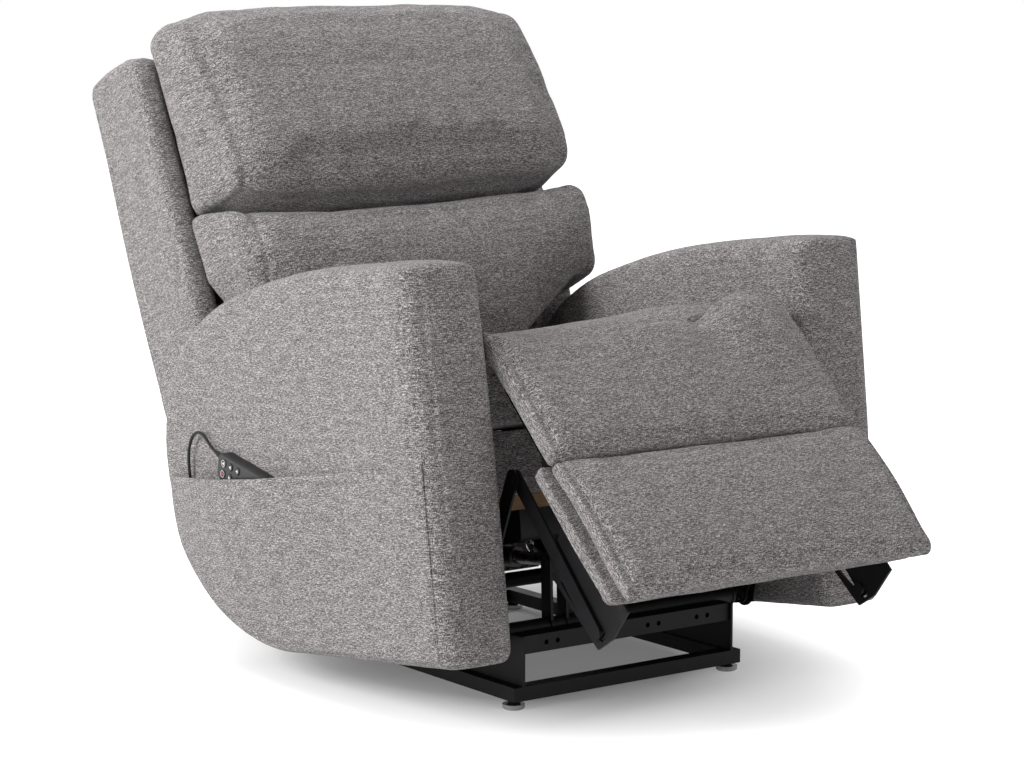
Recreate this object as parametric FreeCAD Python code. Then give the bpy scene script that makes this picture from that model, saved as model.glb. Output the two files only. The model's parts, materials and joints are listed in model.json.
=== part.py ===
"""Lift recliner chair: a powered armchair on a steel lift base, posed leaned back and half reclined.

Millimetres. +Z is up, +Y points to the back of the chair, +X to the sitter's left. The origin is on the
floor under the middle of the whole chair's box, pocket included, so the seat's middle plane lies a little to
the left of it. Everything is drawn about that middle plane and moved over at the end.

Three tilted drawing frames are used: the chair's, whose y and z start at the arms' front bottom edge, the
back's, which starts at its hinge, and the footrest's, which starts at its hinge with u running down the pad
and w out of its top.
"""
import FreeCAD, Part
import os
from math import atan2, cos, degrees, hypot, pi, sin, tan

V = FreeCAD.Vector
ROT = FreeCAD.Rotation
PLACE = FreeCAD.Placement
X_AXIS = V(1, 0, 0)

# How far the seat's middle plane lies to the left of the origin, and the lift base on the floor
MIDDLE_PLANE_X = 12.375
BASE_LENGTH = 620.0
BASE_WIDTH = 453.0
RAIL_WIDTH = 25.0
RAIL_HEIGHT = 22.0
RAIL_BOTTOM = 14.0
RAIL_WALL = 2.0
FOOT_RADIUS = 17.5
FOOT_INSET = 19.0
BASE_MIDDLE = -15.5
BASE_FRONT = BASE_MIDDLE - BASE_LENGTH / 2
BASE_REAR = BASE_MIDDLE + BASE_LENGTH / 2
RAIL_TOP = RAIL_BOTTOM + RAIL_HEIGHT
RAIL_INNER = BASE_WIDTH / 2 - RAIL_WIDTH

# Pose of the chair on its base, as photographed
LEAN_BACK = 6.96
CHAIR_Y = BASE_FRONT - 94.1
CHAIR_Z = 105.4
BACK_LEAN = 19.5
BACK_HINGE = (560.0, 250.0)
FOOT_SLOPE = 50.0
FOOT_HINGE = (12.0, 467.0)

# Arms, in the chair's frame
ARM_INNER = 305.0
ARM_OUTER = 432.0
ARM_FLARE = 17.0
ARM_HEIGHT = 599.0
ARM_TOP_FLARE_Z = 600.0

# Plates and links, by their distance from the middle plane
RISER_X = (206.0, 210.0)
LIFT_ARM_X = (212.0, 218.0)
CARRIAGE_X = (220.0, 224.0)
FRONT_LINK_X = (226.0, 232.0)
FOOT_ARM_X = (254.0, 258.0)
FOLLOWER_X = (261.0, 265.0)
FOOT_LINK_X = (268.0, 272.0)
END_ARM_X = (243.0, 248.0)
BACK_BRACKET_X = (268.0, 273.0)
SIDE_PLATE_X = (275.0, 279.0)
WOOD_X = (279.0, 305.0)

# Lift linkage pivots, in the base's frame
LIFT_PIVOT = (BASE_FRONT + 215.0, 120.0)
LIFT_ARM_LENGTH = 330.0
LIFT_TOP = (LIFT_PIVOT[0] + LIFT_ARM_LENGTH, LIFT_PIVOT[1])
FRONT_PIVOT = (BASE_FRONT + 111.97, 77.67)
FRONT_TOP = (BASE_FRONT + 310.0, 60.0)
MOTOR_PIVOT = (BASE_FRONT + 80.0, 120.0)
LIFT_ROD_PIN = (BASE_FRONT + 260.0, 210.0)
LIFT_ARM_HALF = 20.0
FRONT_LINK_HALF = 18.0
PIN_R = 6.0
RUN = 0.05
TORQUE_R = 12.5

# Footrest linkage, in the chair's frame, and its slotted arm in u and w
FOOT_PIVOT = (142.4, 25.0)
FOOT_ELBOW = (7.0, 270.0)
FOOT_TAIL = (190.4, 43.0)
FOOT_CRANK = (133.7, 124.6)
ROLLER_UW = (430.0, -138.3)
SLOT_CENTRE_UW = (331.6, 264.1)
SLOT_RADIUS = 414.3
SLOT_U = (329.0, 441.0)
ROLLER_R = 7.0
FOOT_LINK_HALF = 13.0
TAIL_PIN_R = 8.0

# Motors: where each housing and rod is pinned, in the chair's frame
FOOT_MOTOR_PIN = (500.0, 130.0)
RECLINE_MOTOR_PIN = (330.0, 110.0)
RECLINE_ROD_PIN = (613.6, 205.0)
RECLINE_X = 110.0
FOOT_MOTOR_X = -110.0
ROD_R = 10.0
BORE_R = 10.6
TUBE_R = 16.0
ROD_PIN_R = 5.0
LIFT_EYE_PLAY = 2.3
RECLINE_EYE_PLAY = 3.7
FOOT_EYE_PLAY = 2.1

# Chair cross tubes
CROSS_TUBE = 30.0
FRONT_TUBE = (372.0, 172.0)
REAR_TUBE = (535.0, 130.0)

# Seat box and cushion
RAIL_Z = (215.0, 325.0)
BOX_Y = (80.0, 545.0)
BOARD = 24.0
FRONT_RAIL_HALF = 250.0
REAR_RAIL_HALF = 262.0
BLOCK = (48.0, 34.0, 90.0)
SEAT_HALF = 298.0
CUSHION_BOTTOM = 337.0

# Back, in the back's frame
SHELL_FRONT = 30.5
SHELL_HALF = 388.0
SHELL_WALL = 46.0
SHELL_MID_HALF = 300.0
PILLOW_HALF = 349.0
CUSHION_BACK = 27.5

# Footrest
PAD_HALF = 295.0
BOARD_HALF = 296.0
END_TAPER = 0.15

# Handset in the pocket of the right arm
HANDSET_END = (535.0, 303.0)
HANDSET_SLOPE = 17.0
HANDSET_SIZE = (150.0, 46.0, 22.0)
HANDSET_X = -453.0
BUTTON_R = 6.5
CORD_R = 2.5
POCKET_STAND_OFF = 30.0


# Frames
CHAIR = PLACE(V(0, CHAIR_Y, CHAIR_Z), ROT(X_AXIS, -LEAN_BACK))
BACK = CHAIR.multiply(PLACE(V(0, *BACK_HINGE), ROT(X_AXIS, -BACK_LEAN)))
FOOT = CHAIR.multiply(PLACE(V(0, *FOOT_HINGE), ROT(X_AXIS, FOOT_SLOPE)))


def placed(shape, frame):
    """A copy of a shape moved from a drawing frame to the row frame."""
    copy = shape.copy()
    copy.Placement = frame.multiply(copy.Placement)
    return copy


def to_chair(point):
    """A (y, z) point of the base's frame in the chair's frame."""
    p = CHAIR.inverse().multVec(V(0, *point))
    return (p.y, p.z)


def uw(u, w):
    """A footrest point, down the pad and out of its top, as that frame's (y, z)."""
    return (-u, w)


# Simple solids
def box(x, y, z):
    """A box from three (low, high) pairs."""
    return Part.makeBox(x[1] - x[0], y[1] - y[0], z[1] - z[0], V(x[0], y[0], z[0]))


def rod_x(centre, radius, x):
    """A round bar along X at a (y, z) centre."""
    return Part.makeCylinder(radius, x[1] - x[0], V(x[0], *centre), X_AXIS)


def side(x_pair, sign):
    """The x range of a piece on the left (+1) or right (-1) side."""
    a, b = x_pair[0] * sign, x_pair[1] * sign
    return (min(a, b), max(a, b))


def plate(points, x):
    """A flat plate with a (y, z) outline."""
    ring = [V(x[0], *p) for p in points]
    face = Part.Face(Part.makePolygon(ring + ring[:1]))
    return face.extrude(V(x[1] - x[0], 0, 0))


def bar(p, q, half, x):
    """A flat link with round ends between two (y, z) pivots."""
    a = atan2(q[1] - p[1], q[0] - p[0])
    n = (-sin(a) * half, cos(a) * half)
    e = (cos(a) * half, sin(a) * half)
    x0 = x[0]
    top = Part.LineSegment(V(x0, p[0] + n[0], p[1] + n[1]), V(x0, q[0] + n[0], q[1] + n[1]))
    far = Part.Arc(V(x0, q[0] + n[0], q[1] + n[1]), V(x0, q[0] + e[0], q[1] + e[1]),
                   V(x0, q[0] - n[0], q[1] - n[1]))
    low = Part.LineSegment(V(x0, q[0] - n[0], q[1] - n[1]), V(x0, p[0] - n[0], p[1] - n[1]))
    near = Part.Arc(V(x0, p[0] - n[0], p[1] - n[1]), V(x0, p[0] - e[0], p[1] - e[1]),
                    V(x0, p[0] + n[0], p[1] + n[1]))
    wire = Part.Wire([s.toShape() for s in (top, far, low, near)])
    return Part.Face(wire).extrude(V(x[1] - x[0], 0, 0))


def drilled(shape, holes, x):
    """A shape with (y, z, radius) holes bored along X."""
    for y, z, r in holes:
        shape = shape.cut(rod_x((y, z), r, (x[0] - 2, x[1] + 2)))
    return shape


def joined(shapes):
    """Several touching shapes as one solid."""
    whole = shapes[0]
    for s in shapes[1:]:
        whole = whole.fuse(s)
    return whole.removeSplitter()


def group(shapes):
    """Separate solids that share one node."""
    return Part.makeCompound(shapes)


def square_tube(centre, size, wall, x):
    """A hollow square tube along X."""
    h = size / 2
    y, z = centre
    outer = box(x, (y - h, y + h), (z - h, z + h))
    k = h - wall
    return outer.cut(box((x[0] - 1, x[1] + 1), (y - k, y + k), (z - k, z + k)))


# Soft forms: a side profile of arcs, lofted across the width
def profile(x, points, bulges, lean=0.0):
    """A closed wire at one x, whose sides bow outward by the bulges; lean adds x with height."""
    n = len(points)
    cy = sum(p[0] for p in points) / n
    cz = sum(p[1] for p in points) / n
    edges = []
    for i, bulge in enumerate(bulges):
        a, b = points[i], points[(i + 1) % n]
        va, vb = V(x + lean * a[1], *a), V(x + lean * b[1], *b)
        if abs(bulge) < 0.01:
            edges.append(Part.LineSegment(va, vb).toShape())
            continue
        length = hypot(b[0] - a[0], b[1] - a[1])
        ny, nz = (b[1] - a[1]) / length, -(b[0] - a[0]) / length
        my, mz = (a[0] + b[0]) / 2, (a[1] + b[1]) / 2
        if ny * (my - cy) + nz * (mz - cz) < 0:
            ny, nz = -ny, -nz
        mid = (my + ny * bulge, mz + nz * bulge)
        edges.append(Part.Arc(va, V(x + lean * mid[1], *mid), vb).toShape())
    return Part.Wire(edges)


def drawn_in(points, inset):
    """Profile points moved toward their middle by an inset, as a cushion's sides draw in."""
    ys = [p[0] for p in points]
    zs = [p[1] for p in points]
    cy, cz = (min(ys) + max(ys)) / 2, (min(zs) + max(zs)) / 2
    hy, hz = (max(ys) - min(ys)) / 2, (max(zs) - min(zs)) / 2
    return [(cy + (y - cy) * (hy - inset) / hy, cz + (z - cz) * (hz - inset) / hz) for y, z in points]


def loft(wires):
    """A solid through profiles of equal edge counts."""
    return Part.makeLoft(wires, True, True)


def cushion(half, points, edge_bulges, crown_bulges, inset=7.0, shape_at=None):
    """A cushion lofted across X: full in the middle, flatter at its sides, with drawn-in ends."""
    stations = ((-1.0, inset, 0.0), (-0.975, 1.5, 0.15), (-0.8, 0.0, 0.55), (-0.4, 0.0, 0.9),
                (0.0, 0.0, 1.0), (0.4, 0.0, 0.9), (0.8, 0.0, 0.55), (0.975, 1.5, 0.15), (1.0, inset, 0.0))
    wires = []
    for place, shrink, crown in stations:
        bulges = [e + (c - e) * crown for e, c in zip(edge_bulges, crown_bulges)]
        pts = shape_at(place) if shape_at else points
        wires.append(profile(place * half, drawn_in(pts, shrink), bulges))
    return loft(wires)


# Lift base
def base_side_rails():
    """The two long rails of hollow tube that lie fore and aft."""
    rails = []
    for s in (-1, 1):
        x = side((RAIL_INNER, BASE_WIDTH / 2), s)
        outer = box(x, (BASE_FRONT, BASE_REAR), (RAIL_BOTTOM, RAIL_TOP))
        hollow = box((x[0] + RAIL_WALL, x[1] - RAIL_WALL), (BASE_FRONT + RAIL_WALL, BASE_REAR - RAIL_WALL),
                     (RAIL_BOTTOM + RAIL_WALL, RAIL_TOP - RAIL_WALL))
        rails.append(outer.cut(hollow))
    return group(rails)


def base_cross_tubes():
    """The low front and rear tubes welded between the rails."""
    tubes = []
    for y in (BASE_FRONT, BASE_REAR - RAIL_WIDTH):
        outer = box((-RAIL_INNER, RAIL_INNER), (y, y + RAIL_WIDTH), (RAIL_BOTTOM, RAIL_TOP))
        w = RAIL_WALL
        tubes.append(outer.cut(box((-RAIL_INNER + w, RAIL_INNER - w), (y + w, y + RAIL_WIDTH - w),
                                   (RAIL_BOTTOM + w, RAIL_TOP - w))))
    return group(tubes)


UPPER_TUBE = 28.0
UPPER_TUBE_CENTRE = (BASE_FRONT + 20.0, 99.0)


def base_upper_tube():
    """The upper front tube between the risers, with its pairs of holes."""
    x = (-RISER_X[0], RISER_X[0])
    tube = square_tube(UPPER_TUBE_CENTRE, UPPER_TUBE, RAIL_WALL, x)
    y = UPPER_TUBE_CENTRE[0]
    for pair in (-150.0, -50.0, 50.0, 150.0):
        for step in (-11.0, 11.0):
            start = V(pair + step, y - UPPER_TUBE / 2 - 4, UPPER_TUBE_CENTRE[1])
            hole = Part.makeCylinder(4.0, UPPER_TUBE + 8, start,
                                     V(0, 1, 0))
            tube = tube.cut(hole)
    return tube


def base_risers():
    """The plates that stand on the rails and carry the lift pivots."""
    f = BASE_FRONT
    low = RAIL_TOP
    outline = [(f, low), (f, 113), (f + 34, 113), (f + 37, 95), (f + 120, 95), (f + 200, 134), (f + 222, 138),
               (f + 262, 60), (f + 262, low)]
    risers = []
    for s in (-1, 1):
        x = side(RISER_X, s)
        solid = joined([plate(outline, x), rod_x(FRONT_PIVOT, FRONT_LINK_HALF, x),
                        rod_x(LIFT_PIVOT, LIFT_ARM_HALF, x)])
        risers.append(drilled(solid, [(*FRONT_PIVOT, PIN_R + RUN), (*LIFT_PIVOT, PIN_R + RUN)], x))
    return group(risers)


def foot_places():
    """The middles of the four feet."""
    x = BASE_WIDTH / 2 - RAIL_WIDTH / 2
    return [(s * x, y) for s in (-1, 1) for y in (BASE_FRONT + FOOT_INSET, BASE_REAR - FOOT_INSET)]


GLIDE_HEIGHT = 8.0


def levelling_feet():
    """Four round bright glides with a bevelled lower edge."""
    feet = []
    for x, y in foot_places():
        disc = Part.makeCylinder(FOOT_RADIUS, GLIDE_HEIGHT - 2, V(x, y, 2))
        bevel = Part.makeCone(FOOT_RADIUS - 2, FOOT_RADIUS, 2, V(x, y, 0))
        feet.append(disc.fuse(bevel).removeSplitter())
    return group(feet)


def foot_studs():
    """The threaded cones between the glides and the rails."""
    gap = RAIL_BOTTOM - GLIDE_HEIGHT
    return group([Part.makeCone(11, 7, gap, V(x, y, GLIDE_HEIGHT)) for x, y in foot_places()])


def pin(centre, radius, x, head_radius, heads):
    """A pivot pin along X with flat heads over the given x ranges."""
    solid = rod_x(centre, radius, x)
    for h in heads:
        solid = solid.fuse(rod_x(centre, head_radius, h))
    return solid.removeSplitter()


def base_pivot_pins():
    """The pins fixed in the risers, for the long arms and the short links, and the motor's pin."""
    pins = []
    for s in (-1, 1):
        pins.append(pin(LIFT_PIVOT, PIN_R, side((202.5, 219.3), s), 9.5,
                        [side((202.5, RISER_X[0]), s), side((218.3, 219.3), s)]))
        pins.append(pin(FRONT_PIVOT, PIN_R, side((203.0, 235.0), s), 9.5,
                        [side((203.0, RISER_X[0]), s), side((RISER_X[1], 225.5), s),
                         side((232.5, 235.0), s)]))
    pins.append(pin(MOTOR_PIVOT, ROD_PIN_R, (-30.0, 30.0), 8.0, [(-30.0, -27.0), (27.0, 30.0)]))
    return group(pins)


def lift_motor_bracket():
    """Two ears behind the upper tube that hold the lift motor's pin."""
    y, z = MOTOR_PIVOT
    f = BASE_FRONT
    outline = [(f + 34, 86), (f + 34, 97), (f + 64, 97), (f + 69, 116), (y + 12, z), (f + 86, 90),
               (f + 80, 86)]
    ears = []
    for s in (-1, 1):
        x = side((22.0, 27.0), s)
        ear = joined([plate(outline, x), rod_x(MOTOR_PIVOT, 12.0, x)])
        ears.append(drilled(ear, [(y, z, ROD_PIN_R + RUN)], x))
    return group(ears)


# Lift linkage
def lift_arms():
    """The long arms that raise the chair."""
    arms = []
    for s in (-1, 1):
        x = side(LIFT_ARM_X, s)
        arms.append(drilled(bar(LIFT_PIVOT, LIFT_TOP, LIFT_ARM_HALF, x),
                            [(*LIFT_PIVOT, PIN_R + RUN), (*LIFT_TOP, PIN_R + RUN)], x))
    return group(arms)


TORQUE_AT = (LIFT_PIVOT[0] + 120.0, LIFT_PIVOT[1])


def lift_torque_tube():
    """The tube that makes both long arms move as one."""
    x = (-LIFT_ARM_X[0], LIFT_ARM_X[0])
    return rod_x(TORQUE_AT, TORQUE_R, x).cut(rod_x(TORQUE_AT, TORQUE_R - 2, (x[0] - 1, x[1] + 1)))


FRONT_LINK_PLAY = 1.4


def front_links():
    """The short links, with play at their top pins."""
    links = []
    for s in (-1, 1):
        x = side(FRONT_LINK_X, s)
        links.append(drilled(bar(FRONT_PIVOT, FRONT_TOP, FRONT_LINK_HALF, x),
                             [(*FRONT_PIVOT, PIN_R + RUN), (*FRONT_TOP, PIN_R + FRONT_LINK_PLAY)], x))
    return group(links)


# Motors, drawn along +Y from their rear pin at the origin
def motor_body(length, half, motor_side, bore_depth, rear_hole=ROD_PIN_R + RUN):
    """A gearbox, its motor can and the tube that the rod slides in, with an eye at the rear."""
    eye = rod_x((0, 0), 12.0, (-half, half))
    neck = box((-half, half), (0, 16), (-11, 11))
    gearbox = box((-27, 27), (14, 60), (-24, 24))
    tube = Part.makeCylinder(TUBE_R, length - 60, V(0, 60, 0), V(0, 1, 0))
    can_x = motor_side * 50.0
    shoulder = box(side((20.0, 68.0), motor_side), (18, 44), (-20, 20))
    can = Part.makeCylinder(21.0, 96, V(can_x, 44, 0), V(0, 1, 0))
    solid = joined([eye, neck, gearbox, tube, shoulder, can])
    bore = Part.makeCylinder(BORE_R, bore_depth + 1, V(0, length - bore_depth, 0), V(0, 1, 0))
    return solid.cut(bore).cut(rod_x((0, 0), rear_hole, (-half - 2, half + 2)))


def motor_rod(start, reach, eye_half, play):
    """A rod that slides in the tube, with an eye at its end."""
    shaft = Part.makeCylinder(ROD_R, reach - start, V(0, start, 0), V(0, 1, 0))
    eye = rod_x((reach, 0), 15.0, (-eye_half, eye_half))
    return joined([shaft, eye]).cut(rod_x((reach, 0), ROD_PIN_R + play, (-eye_half - 2, eye_half + 2)))


def along(p, q, x=0.0):
    """The frame that puts the drawing's +Y from point p to point q, at one x."""
    return PLACE(V(x, *p), ROT(X_AXIS, degrees(atan2(q[1] - p[1], q[0] - p[0]))))


def reach(p, q):
    """The distance between two (y, z) points."""
    return hypot(q[0] - p[0], q[1] - p[1])


def lift_motor():
    """The lift motor's housing, pinned to the base."""
    return placed(motor_body(172.0, 21.5, 1, 98.0), along(MOTOR_PIVOT, LIFT_ROD_PIN))


def lift_rod():
    """The lift motor's rod."""
    r = reach(MOTOR_PIVOT, LIFT_ROD_PIN)
    return placed(motor_rod(80.0, r, 9.0, LIFT_EYE_PLAY), along(MOTOR_PIVOT, LIFT_ROD_PIN))


def recline_motor():
    """The recline motor's housing, pinned behind the front cross tube."""
    frame = CHAIR.multiply(along(RECLINE_MOTOR_PIN, RECLINE_ROD_PIN, RECLINE_X))
    return placed(motor_body(205.0, 14.0, 1, 120.0), frame)


def recline_rod():
    """The recline motor's rod, pinned to the crank under the back."""
    frame = CHAIR.multiply(along(RECLINE_MOTOR_PIN, RECLINE_ROD_PIN, RECLINE_X))
    return placed(motor_rod(142.0, reach(RECLINE_MOTOR_PIN, RECLINE_ROD_PIN), 9.0, RECLINE_EYE_PLAY), frame)


def foot_motor():
    """The footrest motor's housing, pinned to the rear cross tube."""
    frame = CHAIR.multiply(along(FOOT_MOTOR_PIN, FOOT_CRANK, FOOT_MOTOR_X))
    return placed(motor_body(270.0, 14.0, -1, 90.0), frame)


def foot_rod():
    """The footrest motor's rod, pinned to the torque tube's crank."""
    frame = CHAIR.multiply(along(FOOT_MOTOR_PIN, FOOT_CRANK, FOOT_MOTOR_X))
    return placed(motor_rod(205.0, reach(FOOT_MOTOR_PIN, FOOT_CRANK), 9.0, FOOT_EYE_PLAY), frame)


# Steel under the seat
P2_CHAIR = to_chair(LIFT_TOP)
Q2_CHAIR = to_chair(FRONT_TOP)
ROD_PIN_CHAIR = to_chair(LIFT_ROD_PIN)


def side_plates():
    """The plates bolted inside the seat box: footrest pivot, hinge hooks at the front, back hinge behind."""
    body = [(120, 12), (165, 8), (520, 96), (578, 226), (584, 262), (545, 284), (130, 284), (110, 322),
            (84, 322), (84, 120)]
    hook = [(84, 300), (110, 300), (84, 452), (70, 470), (14, 476), (10, 458), (50, 448), (56, 400)]
    plates = []
    for s in (-1, 1):
        x = side(SIDE_PLATE_X, s)
        solid = joined([plate(body, x), plate(hook, x), rod_x(FOOT_HINGE, 9.0, x), rod_x(FOOT_PIVOT, 20.0, x),
                        rod_x(BACK_HINGE, 24.0, x)])
        plates.append(drilled(solid, [(*FOOT_HINGE, ROD_PIN_R + RUN), (*FOOT_PIVOT, PIN_R + RUN),
                                      (*BACK_HINGE, PIN_R + RUN)], x))
    return placed(group(plates), CHAIR)


def chair_cross_tubes():
    """The front and rear tubes between the side plates."""
    x = (-SIDE_PLATE_X[0], SIDE_PLATE_X[0])
    tubes = [square_tube(centre, CROSS_TUBE, 2.0, x) for centre in (FRONT_TUBE, REAR_TUBE)]
    return placed(group(tubes),
                  CHAIR)


def carriage_plates():
    """The plates that hang from the cross tubes and are carried by the lift links."""
    h = CROSS_TUBE / 2 + 9
    outline = [(Q2_CHAIR[0] - 17, Q2_CHAIR[1] + 6), (FRONT_TUBE[0] - h, FRONT_TUBE[1] - 10),
               (FRONT_TUBE[0] - h, FRONT_TUBE[1] + h), (FRONT_TUBE[0] + h, FRONT_TUBE[1] + h),
               (REAR_TUBE[0] + h, REAR_TUBE[1] + h), (P2_CHAIR[0] + 19, P2_CHAIR[1] + 6),
               (P2_CHAIR[0] + 8, P2_CHAIR[1] - 18), (P2_CHAIR[0] - 40, P2_CHAIR[1] - 22),
               (Q2_CHAIR[0] + 16, Q2_CHAIR[1] - 8)]
    plates = []
    for s in (-1, 1):
        x = side(CARRIAGE_X, s)
        solid = joined([plate(outline, x), rod_x(Q2_CHAIR, 17.0, x), rod_x(P2_CHAIR, 20.0, x)])
        for y, z in (FRONT_TUBE, REAR_TUBE):
            k = CROSS_TUBE / 2
            solid = solid.cut(box((x[0] - 1, x[1] + 1), (y - k, y + k), (z - k, z + k)))
        plates.append(drilled(solid, [(*Q2_CHAIR, PIN_R + RUN), (*P2_CHAIR, PIN_R + RUN)], x))
    return placed(group(plates), CHAIR)


def chair_pivot_pins():
    """Pins fixed to the chair: lift links, footrest hinge and pivot, and the back hinge."""
    pins = []
    for s in (-1, 1):
        pins.append(pin(P2_CHAIR, PIN_R, side((208.5, 225.7), s), 9.5,
                        [side((208.5, 211.5), s), side((224.0, 225.7), s)]))
        pins.append(pin(Q2_CHAIR, PIN_R, side((218.4, 235.2), s), 9.0,
                        [side((218.4, 220.0), s), side((232.7, 235.2), s)]))
        pins.append(pin(FOOT_HINGE, ROD_PIN_R, side((251.5, 281.0), s), 7.5,
                        [side((251.5, 253.5), s), side((279.0, 281.0), s)]))
        pins.append(pin(FOOT_PIVOT, PIN_R, side((266.3, 281.0), s), 9.5,
                        [side((266.3, 267.6), s), side((279.0, 281.0), s)]))
        pins.append(pin(BACK_HINGE, PIN_R, side((264.5, 281.5), s), 10.0,
                        [side((264.5, 267.5), s), side((279.0, 281.5), s)]))
    pins.append(pin(ROD_PIN_CHAIR, ROD_PIN_R, (-20.0, 20.0), 7.5, [(-20.0, -17.5), (17.5, 20.0)]))
    for at, mid in ((RECLINE_MOTOR_PIN, RECLINE_X), (FOOT_MOTOR_PIN, FOOT_MOTOR_X)):
        pins.append(pin(at, ROD_PIN_R, (mid - 23.0, mid + 23.0), 7.5,
                        [(mid - 23.0, mid - 20.5), (mid + 20.5, mid + 23.0)]))
    return placed(group(pins), CHAIR)


def rod_brackets():
    """Pairs of ears on the cross tubes: for the lift rod's pin and for the two other motors."""
    k = CROSS_TUBE / 2
    ears = []

    def pair(outline, at, mid, near):
        for s in (-1, 1):
            x = (mid + s * near, mid + s * (near + 5.0))
            x = (min(x), max(x))
            ears.append(drilled(joined([plate(outline, x), rod_x(at, 11.0, x)]), [(*at, ROD_PIN_R + RUN)], x))

    y, z = ROD_PIN_CHAIR
    fy, fz = FRONT_TUBE
    pair([(fy - k, fz - k), (fy - k, fz + k), (y + 2, z + 11), (y - 10, z + 4), (y, z - 10)],
         (y, z), 0.0, 12.5)
    y, z = RECLINE_MOTOR_PIN
    pair([(fy - k, fz + k), (fy - k, fz - k + 3), (y + 1, z + 36), (y - 2, z + 4), (y - 11, z),
          (y - 14, z + 38)], (y, z), RECLINE_X, 15.5)
    y, z = FOOT_MOTOR_PIN
    ry, rz = REAR_TUBE
    pair([(ry - k, rz - k + 2), (ry - k, rz + k - 2), (y, z + 10), (y, z - 10)], (y, z), FOOT_MOTOR_X, 15.5)
    return placed(group(ears), CHAIR)


# Seat box
def seat_side_rails():
    """The timber sides of the seat box, between the side plates and the arms."""
    rails = [box(side(WOOD_X, s), BOX_Y, RAIL_Z) for s in (-1, 1)]
    return placed(group(rails), CHAIR)


def seat_cross_rails():
    """The timber front and rear of the seat box, clear of the links, on corner blocks at the side plates."""
    front_y = (BOX_Y[0], BOX_Y[0] + BOARD)
    rear_y = (BOX_Y[1] - BOARD, BOX_Y[1])
    pieces = [box((-FRONT_RAIL_HALF, FRONT_RAIL_HALF), front_y, RAIL_Z),
              box((-REAR_RAIL_HALF, REAR_RAIL_HALF), rear_y, RAIL_Z)]
    for s in (-1, 1):
        x = side((SIDE_PLATE_X[0] - BLOCK[0], SIDE_PLATE_X[0]), s)
        z = (RAIL_Z[1] - BLOCK[2], RAIL_Z[1])
        pieces.append(box(x, (front_y[1], front_y[1] + BLOCK[1]), z))
        pieces.append(box(x, (rear_y[0] - BLOCK[1], rear_y[0]), z))
    return placed(group(pieces), CHAIR)


def zigzag(x_mid, start, end, level, half_width, pitch, wire_r):
    """A flat zigzag spring of round wire between two ends, as runs joined by half turns of two arcs."""
    edges = []
    count = int((end - start) / pitch)
    r = pitch / 2
    run = half_width - r
    y = start
    s = 1
    edges.append(Part.LineSegment(V(x_mid, y, level), V(x_mid + run, y, level)).toShape())
    for i in range(count):
        x = x_mid + s * run
        corner = V(x + s * r, y + r, level)
        k = r * cos(pi / 4)
        edges.append(Part.Arc(V(x, y, level), V(x + s * k, y + r - k, level), corner).toShape())
        edges.append(Part.Arc(corner, V(x + s * k, y + r + k, level), V(x, y + pitch, level)).toShape())
        y += pitch
        last = i == count - 1
        end = x_mid if last else x_mid - s * run
        edges.append(Part.LineSegment(V(x, y, level), V(end, y, level)).toShape())
        s = -s
    path = Part.Wire(edges)
    circle = Part.Wire([Part.makeCircle(wire_r, V(x_mid, start, level), X_AXIS)])
    return path.makePipeShell([circle], True, False)


SPRING_WIRE = 1.9
SPRING_PITCH = 22.0


def seat_springs():
    """Five zigzag springs across the top of the seat box."""
    level = RAIL_Z[1] + SPRING_WIRE + 0.4
    springs = []
    for i in range(5):
        x = (i - 2) * 108.0
        springs.append(zigzag(x, BOX_Y[0] + 12, BOX_Y[1] - 12, level, 24.0, SPRING_PITCH, SPRING_WIRE))
    return placed(group(springs), CHAIR)


def seat_cushion():
    """The seat cushion, high at its front edge and crowned, with slots for the hinge hooks."""
    points = [(50, CUSHION_BOTTOM), (47, 452), (50, 486), (500, 436), (522, 405), (524, CUSHION_BOTTOM)]
    edge = [0, 2, 6, 6, 2, 0]
    crown = [0, 3, 30, 9, 2, 0]
    solid = cushion(SEAT_HALF, points, edge, crown, inset=6.0)
    for s in (-1, 1):
        for plane in (SIDE_PLATE_X, FOOT_ARM_X):
            x = side((plane[0] - 2, plane[1] + 2), s)
            solid = solid.cut(box(x, (30, 108), (CUSHION_BOTTOM - 5, 480)))
    return placed(solid, CHAIR)


APRON_X = 303.0


def rear_skirt():
    """The cloths between the arms that close the lower rear, under the back, with gaps for the lift arms."""
    outside = [(658, 150), (655, 118), (640, 88), (606, 58)]
    inside = [(604, 61), (637, 90), (652, 119), (655, 150)]
    gap = (LIFT_ARM_X[0] - 5, CARRIAGE_X[1] + 10)
    strips = [(-gap[0], gap[0])] + [side((gap[1], APRON_X - 1), s) for s in (-1, 1)]
    return [plate(outside + inside, strip) for strip in strips]


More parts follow.
